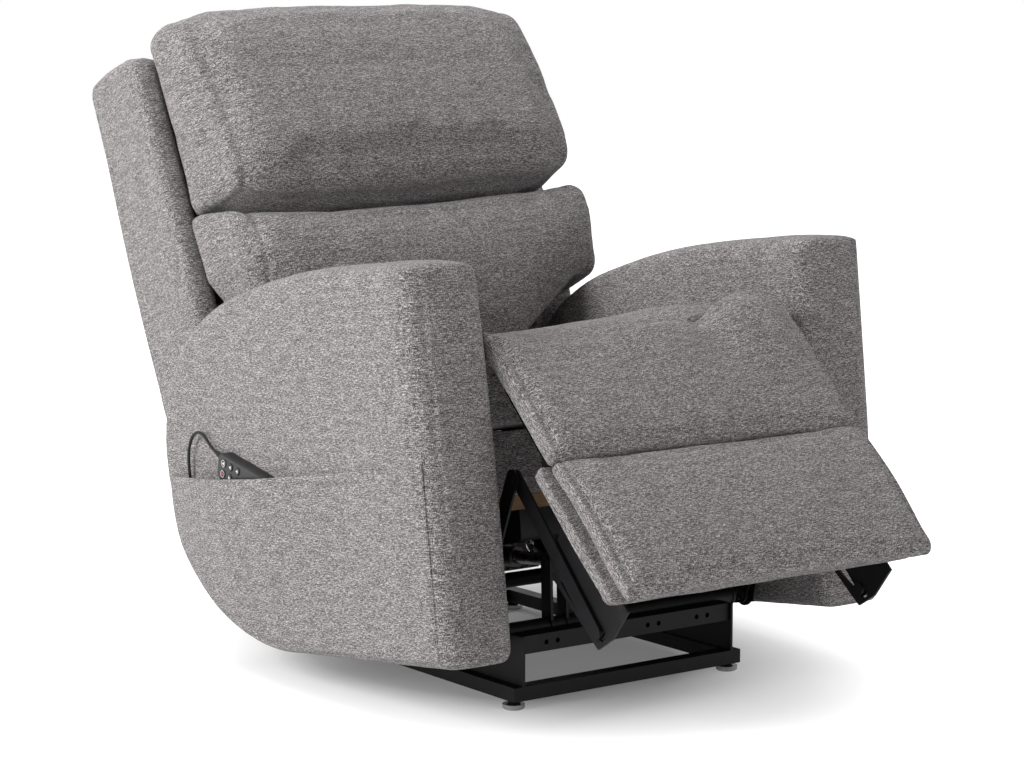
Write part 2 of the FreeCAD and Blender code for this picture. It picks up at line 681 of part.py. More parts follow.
def seat_apron():
    """The cloth over the front of the seat box, rounded at its lower corners, open where links fold past, and
    the cloth at the rear."""
    y = (BOX_Y[0] - 3.4, BOX_Y[0] - 0.2)
    r = 28.0
    x, low, top = APRON_X, 238.0, CUSHION_BOTTOM - 0.8
    k = r * (1 - cos(pi / 4))
    ring = [(-x, top), (-x, low + r), (-x + r, low), (x - r, low), (x, low + r), (x, top)]
    pts = [V(a, y[0], b) for a, b in ring]
    edges = [Part.LineSegment(pts[0], pts[1]).toShape(),
             Part.Arc(pts[1], V(-x + k, y[0], low + k), pts[2]).toShape(),
             Part.LineSegment(pts[2], pts[3]).toShape(),
             Part.Arc(pts[3], V(x - k, y[0], low + k), pts[4]).toShape(),
             Part.LineSegment(pts[4], pts[5]).toShape(), Part.LineSegment(pts[5], pts[0]).toShape()]
    solid = Part.Face(Part.Wire(edges)).extrude(V(0, y[1] - y[0], 0))
    for s in (-1, 1):
        through = (y[0] - 1, y[1] + 1)
        hook_slot = box(side((SIDE_PLATE_X[0] - 2, SIDE_PLATE_X[1] + 2), s), through, (290, top + 1))
        link_slot = box(side((FRONT_RAIL_HALF, SIDE_PLATE_X[1] + 2), s), through, (low - 1, 300))
        solid = solid.cut(hook_slot).cut(link_slot)
    return placed(group([solid] + rear_skirt()), CHAIR)


# Arms
ARM_OUTLINE = [(-20, 5), (440, 3), (606, 48), (730, 166), (748, 262), (718, 428), (620, 522), (489, 562),
               (128, 595), (-10, ARM_HEIGHT - 8)]
ARM_BULGES = [0, 9, 12, 5, 14, 6, 4, 10, 3, 3]


def arm(sign):
    """An upholstered arm: a D seen from the side, soft at its edges, its outer face leaning out."""
    flare = ARM_FLARE / ARM_TOP_FLARE_Z
    stations = ((ARM_INNER, 13.0, 0.0), (ARM_INNER + 5, 4.5, 0.0), (ARM_INNER + 16, 0.0, 0.0),
                (ARM_OUTER - 17, 0.0, flare), (ARM_OUTER - 6, 4.0, flare), (ARM_OUTER, 12.0, flare))
    wires = [profile(sign * x, drawn_in(ARM_OUTLINE, inset), ARM_BULGES, sign * lean)
             for x, inset, lean in stations]
    solid = loft(wires)
    cavity = box(side(ARM_CAVITY_X, sign), ARM_CAVITY_Y, ARM_CAVITY_Z)
    return placed(solid.cut(cavity), CHAIR)


ARM_CAVITY_X = (323.0, 414.0)
ARM_CAVITY_Y = (4.0, 520.0)
ARM_CAVITY_Z = (48.0, 500.0)
PLY = 15.0


def arm_frame(sign):
    """The panel, posts and rails inside an arm."""
    (x0, x1), (y0, y1), (z0, z1) = ARM_CAVITY_X, ARM_CAVITY_Y, ARM_CAVITY_Z
    y = (y0 + 1, y1 - 1)
    z = (z0 + 1, z1 - 1)
    inner = box(side((x0 + 1, x0 + 1 + PLY), sign), y, z)
    rest = side((x0 + 1 + PLY, x1 - 1), sign)
    deep = 40.0
    front = box(rest, (y[0], y[0] + deep), z)
    rear = box(rest, (y[1] - deep, y[1]), z)
    top = box(rest, (y[0] + deep, y[1] - deep), (z[1] - deep, z[1]))
    low = box(rest, (y[0] + deep, y[1] - deep), (z[0], z[0] + deep))
    return placed(group([inner, front, rear, top, low]), CHAIR)


def outer_face(z):
    """How far from the middle plane the arm's outer face is at a height."""
    return ARM_OUTER + ARM_FLARE * z / ARM_TOP_FLARE_Z


# Pocket, each station a place along the arm: y, lower z, upper z, how far the top stands off
POCKET_STATIONS = ((-2.0, 16.0, 309.0, 0.5), (60.0, 14.0, 300.0, 2.0), (230.0, 14.0, 291.0, 6.0),
                   (372.0, 14.0, 285.0, 24.0), (400.0, 15.0, 283.0, POCKET_STAND_OFF),
                   (545.0, 34.0, 280.0, POCKET_STAND_OFF), (640.0, 90.0, 281.0, 20.0),
                   (700.0, 158.0, 282.0, 9.0), (722.0, 196.0, 283.0, 3.0))
POCKET_CLOTH = 3.0


def pocket_panel():
    """The cloth pocket on the right arm: close to the arm below, standing off at its open top."""
    wires = []
    for y, low, high, off in POCKET_STATIONS:
        mid = (low + high) / 2
        inner = [(outer_face(low) + 0.4, low), (outer_face(mid) + 0.4 + 0.62 * off, mid),
                 (outer_face(high) + 0.4 + off, high)]
        ring = inner + [(x + POCKET_CLOTH, z) for x, z in reversed(inner)]
        pts = [V(-x, y, z) for x, z in ring]
        wires.append(Part.makePolygon(pts + pts[:1]))
    return placed(loft(wires), CHAIR)


# Boxes under the seat
CONTROL_BOX = ((62.0, 190.0), (106.0, 156.0), (163.0, 214.0))
POWER_BOX = ((-190.0, -62.0), (106.0, 156.0), (163.0, 214.0))


def hung_box(x, y, z):
    """A case under the front rail with two tabs on the rail's rear face and bevelled lower edges."""
    b = 5.0
    outline = [(y[0], z[0] + b), (y[0] + b, z[0]), (y[1] - b, z[0]), (y[1], z[0] + b), (y[1], z[1] - b),
               (y[1] - b, z[1]), (y[0], z[1])]
    tabs = [box((at, at + 22), (y[0], y[0] + 3), (z[1] - 1, z[1] + 30)) for at in (x[0] + 10, x[1] - 32)]
    return joined([plate(outline, x)] + tabs)


def control_box():
    """The box that the motors and the handset plug into, with a row of sockets behind."""
    solid = hung_box(*CONTROL_BOX)
    for i in range(4):
        x = CONTROL_BOX[0][0] + 16 + i * 28
        solid = solid.cut(box((x, x + 14), (CONTROL_BOX[1][1] - 9, CONTROL_BOX[1][1] + 1), (182, 196)))
    return placed(solid, CHAIR)


def power_supply():
    """The mains power supply."""
    return placed(hung_box(*POWER_BOX), CHAIR)


def mains_gland():
    """The gland where the mains lead leaves the power supply, a stub with three rings."""
    x, y, z = POWER_BOX[0][0] + 30, POWER_BOX[1][1], 184.0
    solid = Part.makeCylinder(5.0, 22, V(x, y, z), V(0, 1, 0))
    for i in range(3):
        solid = solid.fuse(Part.makeCylinder(7.0, 3, V(x, y + 3 + i * 6, z), V(0, 1, 0)))
    return placed(solid.removeSplitter(), CHAIR)


# Handset, drawn with its length along +Y from the middle of its rear end, its face toward -X
HANDSET = CHAIR.multiply(PLACE(V(HANDSET_X, *HANDSET_END), ROT(X_AXIS, HANDSET_SLOPE)))
BUTTON_NAMES = ("button_lift", "button_lower", "button_recline", "button_upright", "button_legs_up",
                "button_legs_down")
BUTTON_DEEP = 2.6
BUTTON_PROUD = 1.4
BUTTON_FACE = -HANDSET_SIZE[2] / 2


def button_places():
    """The middles of the six buttons on the handset's face, as drawing (y, z)."""
    return [(-20.0 - 21.0 * i, 8.6 * s) for i in range(3) for s in (1, -1)]


def handset_body():
    """The handset's case, rounded at both ends, with six wells for its buttons."""
    length, width, thick = HANDSET_SIZE
    h, t = width / 2, thick / 2
    r = 12.0
    wires = []
    for x, inset in ((-t, 2.5), (-t + 2.5, 0.0), (t - 2.5, 0.0), (t, 2.5)):
        e = r - r * cos(pi / 4)
        y0, y1, z = -length + inset, -inset, h - inset
        ring = [(y0 + r, -z), (y1 - r, -z), (y1, -z + r), (y1, z - r), (y1 - r, z), (y0 + r, z), (y0, z - r),
                (y0, -z + r)]
        mids = [None, (y1 - e, -z + e), None, (y1 - e, z - e), None, (y0 + e, z - e), None, (y0 + e, -z + e)]
        edges = []
        for i, m in enumerate(mids):
            a, b = V(x, *ring[i]), V(x, *ring[(i + 1) % 8])
            edges.append((Part.Arc(a, V(x, *m), b) if m else Part.LineSegment(a, b)).toShape())
        wires.append(Part.Wire(edges))
    solid = loft(wires)
    for y, z in button_places():
        solid = solid.cut(rod_x((y, z), BUTTON_R + 0.4, (BUTTON_FACE - 1, BUTTON_FACE + BUTTON_DEEP + 1.6)))
    return placed(solid, HANDSET)


def handset_button(i):
    """One round button, standing a little proud of the handset's face."""
    y, z = button_places()[i]
    low = BUTTON_FACE - BUTTON_PROUD
    cap = rod_x((y, z), BUTTON_R, (low + 0.8, BUTTON_FACE + BUTTON_DEEP))
    rim = Part.makeCone(BUTTON_R, BUTTON_R - 0.8, 0.8, V(low + 0.8, y, z), V(-1, 0, 0))
    return placed(joined([cap, rim]), HANDSET)


RELIEF_LENGTH = 22.0


def relief_frame():
    """Where the strain relief leaves the handset's rear end."""
    return HANDSET.multiply(PLACE(V(0, 0, 9.0), ROT(X_AXIS, 8.0)))


def handset_strain_relief():
    """The tapered strain relief on the handset."""
    cone = Part.makeCone(5.5, 3.4, RELIEF_LENGTH, V(0, -0.6, 0), V(0, 1, 0))
    return placed(cone, relief_frame()).cut(handset_body())


def grommet_top():
    """The open end of the grommet on the arm inside the pocket, in the chair's frame."""
    return V(-(outer_face(190.0) + 4.8), 652.0, 196.0)


def cord_grommet():
    """The grommet where the handset's cord goes into the arm."""
    top = grommet_top()
    return placed(Part.makeCone(4.3, 3.6, 18.0, V(top.x, top.y, top.z - 18.0)), CHAIR)


# The cord's corners between its first and last runs, in the chair's frame
CORD_POINTS = ((-454.0, 589.5, 352.0), (-454.5, 610.0, 355.0), (-454.0, 629.5, 344.0), (-453.0, 643.0, 322.0),
               (-450.5, 650.0, 294.0), (-447.0, 652.0, 264.0))
CORD_FIRST = 18.0
CORD_LAST = 29.0


def cord_route():
    """The route of the handset's cord in the row frame: straight out of the strain relief, over in a loop,
    and straight down into the grommet."""
    relief = relief_frame()
    start = [relief.multVec(V(0, RELIEF_LENGTH - 0.6 + run, 0)) for run in (0.0, CORD_FIRST)]
    top = grommet_top()
    loop = [V(*p) for p in CORD_POINTS]
    end = [V(top.x, top.y, top.z + CORD_LAST), top]
    return start + [CHAIR.multVec(p) for p in loop + end]


def round_path(points):
    """Straight runs joined by tangent arcs, each as large as its two runs allow, and the arcs' radii."""
    edges = []
    radii = []
    at = points[0]
    for a, b, c in zip(points, points[1:], points[2:]):
        d1, d2 = (b - a).normalize(), (c - b).normalize()
        turn = d1.getAngle(d2)
        short = min((b - a).Length, (c - b).Length)
        cut = 0.45 * short
        r = cut / tan(turn / 2)
        radii.append(r)
        p, q = b - d1 * cut, b + d2 * cut
        inward = (d2 - d1).normalize()
        centre = b + inward * (r / cos(turn / 2))
        edges.append(Part.LineSegment(at, p).toShape())
        edges.append(Part.Arc(p, centre - inward * r, q).toShape())
        at = q
    edges.append(Part.LineSegment(at, points[-1]).toShape())
    return Part.Wire(edges), radii


def handset_cord():
    """The thin cord that loops over the pocket's edge and back into it."""
    points = cord_route()
    path, radii = round_path(points)
    first = (points[1] - points[0]).normalize()
    circle = Part.Wire([Part.makeCircle(CORD_R, points[0], first)])
    solid = path.makePipeShell([circle], True, False)
    want = pi * CORD_R ** 2 * path.Length
    print("cord: length %.1f, radii %s, volume %.1f of %.1f" % (
        path.Length, " ".join("%.0f" % r for r in radii), solid.Volume, want))
    return solid


# Back
def back_profile(wing):
    """The side view of the back's shell: its middle, or the wings that pass behind the arms."""
    if wing:
        return ([(SHELL_FRONT, 284), (SHELL_FRONT, 772), (52, 792), (176, 800), (190, 786), (215, 240),
                 (212, 168), (172, 160), (134, 204), (90, 242)], [0, 4, 3, 4, 6, 3, 6, 3, 3, 4])
    return ([(SHELL_FRONT, 60), (SHELL_FRONT, 772), (52, 792), (176, 800), (190, 786), (215, 240), (200, 60)],
            [0, 4, 3, 4, 6, 6, 0])


def back_shell():
    """The upholstered shell of the back, hollow and open toward the cushions."""
    pts, bulges = back_profile(False)
    middle = loft([profile(x, pts, bulges) for x in (-SHELL_MID_HALF, SHELL_MID_HALF)])
    solids = [middle]
    wing, wing_bulges = back_profile(True)
    for s in (-1, 1):
        stations = ((SHELL_MID_HALF - 10, 0.0), (SHELL_HALF - 14, 0.0), (SHELL_HALF - 4, 4.0),
                    (SHELL_HALF, 11.0))
        solids.append(loft([profile(s * x, drawn_in(wing, inset), wing_bulges) for x, inset in stations]))
    shell = joined(solids)
    deep = [(SHELL_FRONT - 2, 78), (SHELL_FRONT - 2, 772), (164, 772), (190, 240), (180, 78)]
    wide = [(SHELL_FRONT - 2, 312), (SHELL_FRONT - 2, 772), (164, 772), (184, 312)]
    shell = shell.cut(plate(deep, (-SHELL_MID_HALF + 3, SHELL_MID_HALF - 3)))
    shell = shell.cut(plate(wide, (SHELL_WALL - SHELL_HALF, SHELL_HALF - SHELL_WALL)))
    for s in (-1, 1):
        shell = shell.cut(box(side((BACK_BRACKET_X[0] - 1, BACK_BRACKET_X[1] + 1), s), (20, 120), (50, 90)))
    return placed(shell, BACK)


STILE_X = (273.0, 295.0)
STILE_Y = (60.0, 106.0)
STILE_Z = (84.0, 766.0)


def back_stiles():
    """The timber uprights inside the back."""
    return placed(group([box(side(STILE_X, s), STILE_Y, STILE_Z) for s in (-1, 1)]), BACK)


def back_rails():
    """The timber rails between the uprights."""
    low = BACK_BRACKET_X[0]
    rails = [box((-low, low), STILE_Y, (84.0, 126.0))]
    rails += [box((-STILE_X[0], STILE_X[0]), STILE_Y, z) for z in ((455.0, 495.0), (724.0, 766.0))]
    return placed(group(rails), BACK)


def back_springs():
    """Four zigzag springs on the front of the back's rails."""
    springs = []
    for i in range(4):
        flat = zigzag((i - 1.5) * 118.0, 100.0, 748.0, 0.0, 24.0, SPRING_PITCH, SPRING_WIRE)
        upright = PLACE(V(0, STILE_Y[0] - SPRING_WIRE - 0.4, 0), ROT(X_AXIS, 90))
        springs.append(placed(flat, upright))
    return placed(group(springs), BACK)


def lumbar_cushion():
    """The lower back cushion: between the arms below, wider above them."""
    def at(place):
        wing = abs(place) * PILLOW_HALF > SHELL_MID_HALF
        low = 300.0 if wing else 180.0
        deep = 1 - END_TAPER * abs(place) ** 6
        return [(CUSHION_BACK, low), (-100 * deep, low), (-127 * deep, low + 34), (-139 * deep, 440),
                (-114 * deep, 480), (CUSHION_BACK, 480)]

    edge = [0, 4, 4, 8, 0, 0]
    crown = [3, 9, 24, 10, 0, 0]
    stations = ((1.0, 7.0, 0.0), (0.975, 1.5, 0.2), (0.875, 0.0, 0.45))
    inner = ((0.862, 0.0, 0.5), (0.4, 0.0, 0.9), (0.0, 0.0, 1.0))
    wires = []
    for place, shrink, full in [(-p, s, f) for p, s, f in stations + inner] + [
            (p, s, f) for p, s, f in reversed((stations + inner)[:-1])]:
        bulges = [e + (c - e) * full for e, c in zip(edge, crown)]
        wires.append(profile(place * PILLOW_HALF, drawn_in(at(place), shrink), bulges))
    return placed(loft(wires), BACK)


def head_pillow():
    """The large head pillow, overhanging the lumbar cushion, rounded over the top of the back."""
    def at(place):
        top = 810.0 + 44.0 * (1 - abs(place) ** 4)
        deep = 1 - END_TAPER * abs(place) ** 6
        return [(CUSHION_BACK, 484), (-114 * deep, 484), (-147 * deep, 512), (-130 * deep, 680),
                (-100 * deep, 778), (-28, top), (20, top - 12), (CUSHION_BACK, 780)]

    edge = [0, 9, 2, 2, 10, 3, 4, 0]
    crown = [2, 12, 10, 5, 17, 4, 6, 0]
    return placed(cushion(PILLOW_HALF, None, edge, crown, inset=9.0, shape_at=at), BACK)


CRANK_PIN_BACK = (65.9, -24.4)
CRANK_TUBE = (97.0, -12.0)


def back_brackets():
    """The steel brackets that carry the back on its hinge pins."""
    outline = [(-16, 14), (40, 90), (62, 340), (104, 340), (104, 60), (118, 4), (112, -28), (84, -32),
               (0, -22)]
    brackets = []
    for s in (-1, 1):
        x = side(BACK_BRACKET_X, s)
        solid = joined([plate(outline, x), rod_x((0, 0), 22.0, x)])
        brackets.append(drilled(solid, [(0, 0, PIN_R + RUN)], x))
    return placed(group(brackets), BACK)


def recline_crank():
    """The tube between the back's brackets, with the ears and pin that the recline rod pulls on."""
    h = BACK_BRACKET_X[0]
    k = 12.5
    y, z = CRANK_TUBE
    tube = square_tube(CRANK_TUBE, 2 * k, 2.0, (-h, h))
    py, pz = CRANK_PIN_BACK
    solids = [tube]
    outline = [(y - k, z - k), (y - k, z + k), (py, pz + 11), (py - 6, pz - 9), (py + 6, pz - 9)]
    for s in (-1, 1):
        x = (RECLINE_X + s * 12.5, RECLINE_X + s * 17.5)
        x = (min(x), max(x))
        solids.append(drilled(joined([plate(outline, x), rod_x(CRANK_PIN_BACK, 11.0, x)]),
                              [(py, pz, ROD_PIN_R + RUN)], x))
    solids.append(pin(CRANK_PIN_BACK, ROD_PIN_R, (RECLINE_X - 20, RECLINE_X + 20), 7.5,
                      [(RECLINE_X - 20, RECLINE_X - 17.5), (RECLINE_X + 17.5, RECLINE_X + 20)]))
    return placed(group(solids), BACK)


# Footrest
def pad_profile(points):
    """Footrest points given as (u, w), turned into the drawing's (y, z)."""
    return [uw(*p) for p in points]


def hinge_notches(solid):
    """Cut the room that the hinge hooks and arms need out of the chaise pad."""
    for s in (-1, 1):
        x = side((FOOT_ARM_X[0] - 3.5, SIDE_PLATE_X[1] + 3), s)
        solid = solid.cut(box(x, (-34, 40), (-45, 12)))
        solid = solid.cut(box(side((FOOT_ARM_X[0] - 3, FOOT_ARM_X[1] + 3), s), (-60, 0), (-45, -10)))
    return solid


def chaise_pad():
    """The upper pad of the footrest, from the seat's front edge to the crease."""
    points = pad_profile([(0, -20), (0, 19), (212, 12), (221, -6), (220, -30), (50, -30)])
    edge = [16, 4, 4, 0.5, 0, 0]
    crown = [16, 13, 4, 0.5, 0, 0]
    return placed(hinge_notches(cushion(PAD_HALF, points, edge, crown, inset=7.0)), FOOT)


def footrest_pad():
    """The lower pad of the footrest."""
    points = pad_profile([(225, -29.5), (224, -6), (234, 12), (438, 7), (464, -12), (455, -29.5)])
    edge = [0.5, 4, 5, 8, 4, 0]
    crown = [0.5, 4, 15, 9, 4, 0]
    return placed(cushion(PAD_HALF + 2, points, edge, crown, inset=7.0), FOOT)


def footrest_board():
    """The padded board behind the pads, with notches where the links fold past it."""
    points = pad_profile([(206, -31), (202, -46), (212, -61), (424, -61.5), (445, -48), (446, -31)])
    edge = [3, 4, 1, 5, 3, 0]
    solid = cushion(BOARD_HALF, points, edge, edge, inset=6.0)
    for s in (-1, 1):
        x = side((FOLLOWER_X[0] - 2.5, FOOT_LINK_X[1] + 2.5), s)
        solid = solid.cut(box(x, (-300, -190), (-80, -36)))
    return placed(solid, FOOT)


def slot_point(u, radius):
    """A point of the roller's slot at a given u, as the drawing's (y, z)."""
    cu, cw = SLOT_CENTRE_UW
    return uw(u, cw - (radius ** 2 - (u - cu) ** 2) ** 0.5)


def footrest_arms():
    """The hinge arms under the pads, each with the curved slot that its link's roller runs in."""
    outline = pad_profile([(-2, -9), (3, 9), (22, -8), (48, -31.5), (200, -31.5), (201, -62.5), (452, -62.5),
                           (458, -120), (448, -158), (312, -168), (286, -146), (268, -86), (190, -80),
                           (170, -58), (40, -56)])
    arms = []
    for s in (-1, 1):
        x = side(FOOT_ARM_X, s)
        solid = joined([plate(outline, x), rod_x((0, 0), 9.0, x)])
        solid = drilled(solid, [(0, 0, ROD_PIN_R + RUN)], x)
        wide = ROLLER_R + 0.5
        ends = [slot_point(u, SLOT_RADIUS) for u in SLOT_U]
        mid = (SLOT_U[0] + SLOT_U[1]) / 2
        ring = []
        for radius in (SLOT_RADIUS - wide, SLOT_RADIUS + wide):
            ring.append([slot_point(u, radius) for u in (SLOT_U[0], mid, SLOT_U[1])])
        x0 = x[0] - 2
        edges = [Part.Arc(*[V(x0, *p) for p in ring[0]]).toShape(),
                 Part.LineSegment(V(x0, *ring[0][2]), V(x0, *ring[1][2])).toShape(),
                 Part.Arc(*[V(x0, *p) for p in reversed(ring[1])]).toShape(),
                 Part.LineSegment(V(x0, *ring[1][0]), V(x0, *ring[0][0])).toShape()]
        solid = solid.cut(Part.Face(Part.Wire(edges)).extrude(V(x[1] - x[0] + 4, 0, 0)))
        solid = drilled(solid, [(*e, wide) for e in ends], x)
        arms.append(solid)
    return placed(group(arms), FOOT)


ROLLER_CHAIR = CHAIR.inverse().multVec(FOOT.multVec(V(0, *uw(*ROLLER_UW))))
ROLLER_AT = (ROLLER_CHAIR.y, ROLLER_CHAIR.z)


def foot_links():
    """The stamped links at the sides, each a bell crank from its pivot to its elbow and its tail."""
    links = []
    for s in (-1, 1):
        x = side(FOOT_LINK_X, s)
        web = plate([FOOT_TAIL, (FOOT_PIVOT[0] + 4, FOOT_PIVOT[1] - 6),
                     (FOOT_PIVOT[0] - 34, FOOT_PIVOT[1] + 40), (FOOT_PIVOT[0] + 6, FOOT_PIVOT[1] + 44)], x)
        bars = [bar(FOOT_PIVOT, FOOT_ELBOW, FOOT_LINK_HALF, x), bar(FOOT_PIVOT, FOOT_TAIL, 15.0, x)]
        solid = joined(bars + [web])
        links.append(drilled(solid, [(*FOOT_PIVOT, PIN_R + RUN), (*FOOT_ELBOW, ROD_PIN_R + RUN)], x))
    return placed(group(links), CHAIR)


def foot_torque_tube():
    """The crank shaft between the links: a tube in line with their pivots, arms at its ends that reach back
    to the links' tails, clear of the folded footrest, and the ears that the footrest rod pushes."""
    x = (-END_ARM_X[0], END_ARM_X[0])
    solids = [rod_x(FOOT_PIVOT, TORQUE_R, x).cut(rod_x(FOOT_PIVOT, TORQUE_R - 2, (x[0] - 1, x[1] + 1)))]
    for s in (-1, 1):
        end_arm = bar(FOOT_PIVOT, FOOT_TAIL, 14.0, side(END_ARM_X, s))
        tail_pin = rod_x(FOOT_TAIL, TAIL_PIN_R, side((END_ARM_X[1], FOOT_LINK_X[0]), s))
        solids.append(joined([end_arm, tail_pin]))
    cy, cz = FOOT_CRANK
    for s in (-1, 1):
        cx = (FOOT_MOTOR_X + s * 12.5, FOOT_MOTOR_X + s * 17.5)
        cx = (min(cx), max(cx))
        blade = joined([bar(FOOT_CRANK, FOOT_PIVOT, 12.0, cx), rod_x(FOOT_PIVOT, 15.0, cx)])
        blade = blade.cut(rod_x(FOOT_PIVOT, TORQUE_R, (cx[0] - 1, cx[1] + 1)))
        solids.append(drilled(blade, [(cy, cz, ROD_PIN_R + RUN)], cx))
    solids.append(pin(FOOT_CRANK, ROD_PIN_R, (FOOT_MOTOR_X - 20, FOOT_MOTOR_X + 20), 7.5,
                      [(FOOT_MOTOR_X - 20, FOOT_MOTOR_X - 17.5), (FOOT_MOTOR_X + 17.5, FOOT_MOTOR_X + 20)]))
    for s in (-1, 1):
        solids.append(pin(FOOT_ELBOW, ROD_PIN_R, side((259.3, 274.0), s), 7.5,
                          [side((259.3, 260.6), s), side((272.0, 274.0), s)]))
    return placed(group(solids), CHAIR)


def foot_followers():
    """The second links, with the rollers that run in the slots."""
    solids = []
    for s in (-1, 1):
        x = side(FOLLOWER_X, s)
        link = bar(FOOT_ELBOW, ROLLER_AT, FOOT_LINK_HALF - 1, x)
        solids.append(drilled(link, [(*FOOT_ELBOW, ROD_PIN_R + RUN)], x))
        head = side((251.0, 253.0), s)
        solids.append(pin(ROLLER_AT, ROLLER_R, side((252.6, FOLLOWER_X[0]), s), 10.0, [head]))
    return placed(group(solids), CHAIR)


NODES = {
    "base_side_rails": base_side_rails, "base_cross_tubes": base_cross_tubes,
    "base_upper_tube": base_upper_tube, "base_risers": base_risers, "levelling_feet": levelling_feet,
    "foot_studs": foot_studs, "base_pivot_pins": base_pivot_pins, "lift_motor_bracket": lift_motor_bracket,
    "lift_arms": lift_arms, "lift_torque_tube": lift_torque_tube, "front_links": front_links,
    "lift_motor": lift_motor, "lift_rod": lift_rod, "side_plates": side_plates,
    "chair_cross_tubes": chair_cross_tubes, "carriage_plates": carriage_plates,
    "chair_pivot_pins": chair_pivot_pins, "rod_brackets": rod_brackets, "seat_side_rails": seat_side_rails,
    "seat_cross_rails": seat_cross_rails, "seat_springs": seat_springs, "seat_cushion": seat_cushion,
    "seat_apron": seat_apron, "pocket_panel": pocket_panel, "control_box": control_box,
    "power_supply": power_supply, "mains_gland": mains_gland, "handset_body": handset_body,
    "handset_strain_relief": handset_strain_relief, "handset_cord": handset_cord,
    "cord_grommet": cord_grommet, "back_shell": back_shell, "back_stiles": back_stiles,
    "back_rails": back_rails, "back_springs": back_springs, "lumbar_cushion": lumbar_cushion,
    "head_pillow": head_pillow, "back_brackets": back_brackets, "recline_crank": recline_crank,
    "chaise_pad": chaise_pad, "footrest_pad": footrest_pad, "footrest_board": footrest_board,
    "footrest_arms": footrest_arms, "foot_links": foot_links, "foot_torque_tube": foot_torque_tube,
    "foot_followers": foot_followers, "recline_motor": recline_motor, "recline_rod": recline_rod,
    "foot_motor": foot_motor, "foot_rod": foot_rod,
}


def build():
    """Make every node, say what each holds, and write it."""
    shapes = {name: make() for name, make in NODES.items()}
    for name, sign in (("left", 1), ("right", -1)):
        shapes["arm_" + name] = arm(sign)
        shapes["arm_frame_" + name] = arm_frame(sign)
    for i, name in enumerate(BUTTON_NAMES):
        shapes[name] = handset_button(i)
    os.makedirs("parts", exist_ok=True)
    for name, shape in shapes.items():
        ok = shape.isValid() and all(s.Volume > 0 for s in shape.Solids) and len(shape.Solids) > 0
        print("%-24s %2d solids %12.0f mm3 %s" % (name, len(shape.Solids), shape.Volume, "" if ok else "BAD"))
        placed(shape, PLACE(V(MIDDLE_PLANE_X, 0, 0), ROT())).exportStep("parts/%s.step" % name)
    return shapes


SHAPES = build()
print(len(SHAPES), "nodes")
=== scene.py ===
# %% [markdown]
# # A lift recliner chair, dressed
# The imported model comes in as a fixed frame: steel, timber, motors and plain soft solids. This
# script gives it its looks: puffed cushions, tweed, soft seams, a hemmed pocket, a handset with
# marks and its cord. Everything is in metres. +Z is up, -Y is the way the sitter faces, +X is
# the sitter's left.

# %% Load the frame
import bpy
import bmesh
import json
import numpy as np
from math import cos, pi, radians, sin
from mathutils import Matrix, Vector


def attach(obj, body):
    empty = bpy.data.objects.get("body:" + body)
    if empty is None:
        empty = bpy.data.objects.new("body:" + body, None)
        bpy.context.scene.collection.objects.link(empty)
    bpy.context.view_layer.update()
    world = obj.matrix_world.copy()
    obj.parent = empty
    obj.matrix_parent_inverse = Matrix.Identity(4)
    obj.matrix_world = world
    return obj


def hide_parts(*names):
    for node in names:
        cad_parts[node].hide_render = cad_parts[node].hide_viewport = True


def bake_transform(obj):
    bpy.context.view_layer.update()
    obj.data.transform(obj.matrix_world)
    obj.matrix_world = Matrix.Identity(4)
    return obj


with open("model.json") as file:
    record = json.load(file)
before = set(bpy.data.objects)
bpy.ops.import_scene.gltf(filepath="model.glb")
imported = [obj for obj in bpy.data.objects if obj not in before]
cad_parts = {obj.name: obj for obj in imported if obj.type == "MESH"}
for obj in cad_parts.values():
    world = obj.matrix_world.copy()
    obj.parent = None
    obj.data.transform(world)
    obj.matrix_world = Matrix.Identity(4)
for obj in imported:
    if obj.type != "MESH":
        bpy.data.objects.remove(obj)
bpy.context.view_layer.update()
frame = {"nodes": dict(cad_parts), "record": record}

NODES = frame["nodes"]
scene = bpy.context.scene

# %% [markdown]
# ## Drawing frames
# The chair leans back on its base, and its back and footrest are tilted again. Each has a frame
# of its own, in which its outline is easy to say. In the footrest's frame u runs down the pad
# and w stands out of its top. Numbers could also be given in the room's frame, but then every
# seam would need a slope. A matrix per part keeps them plain: a height is a height.

# %% Drawing frames
LEAN = radians(6.96)
MIDDLE_X = 0.012375
CHAIR = Matrix.Translation((MIDDLE_X, -0.4196, 0.1054)) @ Matrix.Rotation(-LEAN, 4, "X")
BACK = CHAIR @ Matrix.Translation((0, 0.560, 0.250)) @ Matrix.Rotation(radians(-19.5), 4, "X")
FOOT = CHAIR @ Matrix.Translation((0, 0.012, 0.467)) @ Matrix.Rotation(radians(50.0), 4, "X")


def foot_point(x, u, w):
    """A point of the footrest in the room's frame."""
    return FOOT @ Vector((x, -u, w))


print("footrest hinge at", [round(c, 4) for c in foot_point(0, 0, 0)])

# %% [markdown]
# ## Mesh helpers
# A new piece starts from a list of points and faces, or from a copy of a CAD solid. The shaping
# could be done by hand in sculpt mode. Here each pull and roll is a small sum over all the
# points at once, so that it can be read, changed and repeated.

# %% Mesh helpers
def link(name, mesh):
    """A new object in the scene for a mesh, shaded smooth."""
    obj = bpy.data.objects.new(name, mesh)
    scene.collection.objects.link(obj)
    mesh.polygons.foreach_set("use_smooth", [True] * len(mesh.polygons))
    return obj


def made(name, verts, faces):
    """A new object from points and faces."""
    mesh = bpy.data.meshes.new(name)
    mesh.from_pydata([tuple(v) for v in verts], [], faces)
    mesh.validate()
    return link(name, mesh)


def copied(node, name):
    """A new object with the shape of a CAD node."""
    src = NODES[node]
    mesh = src.data.copy()
    mesh.transform(src.matrix_world)
    mesh.materials.clear()
    return link(name, mesh)


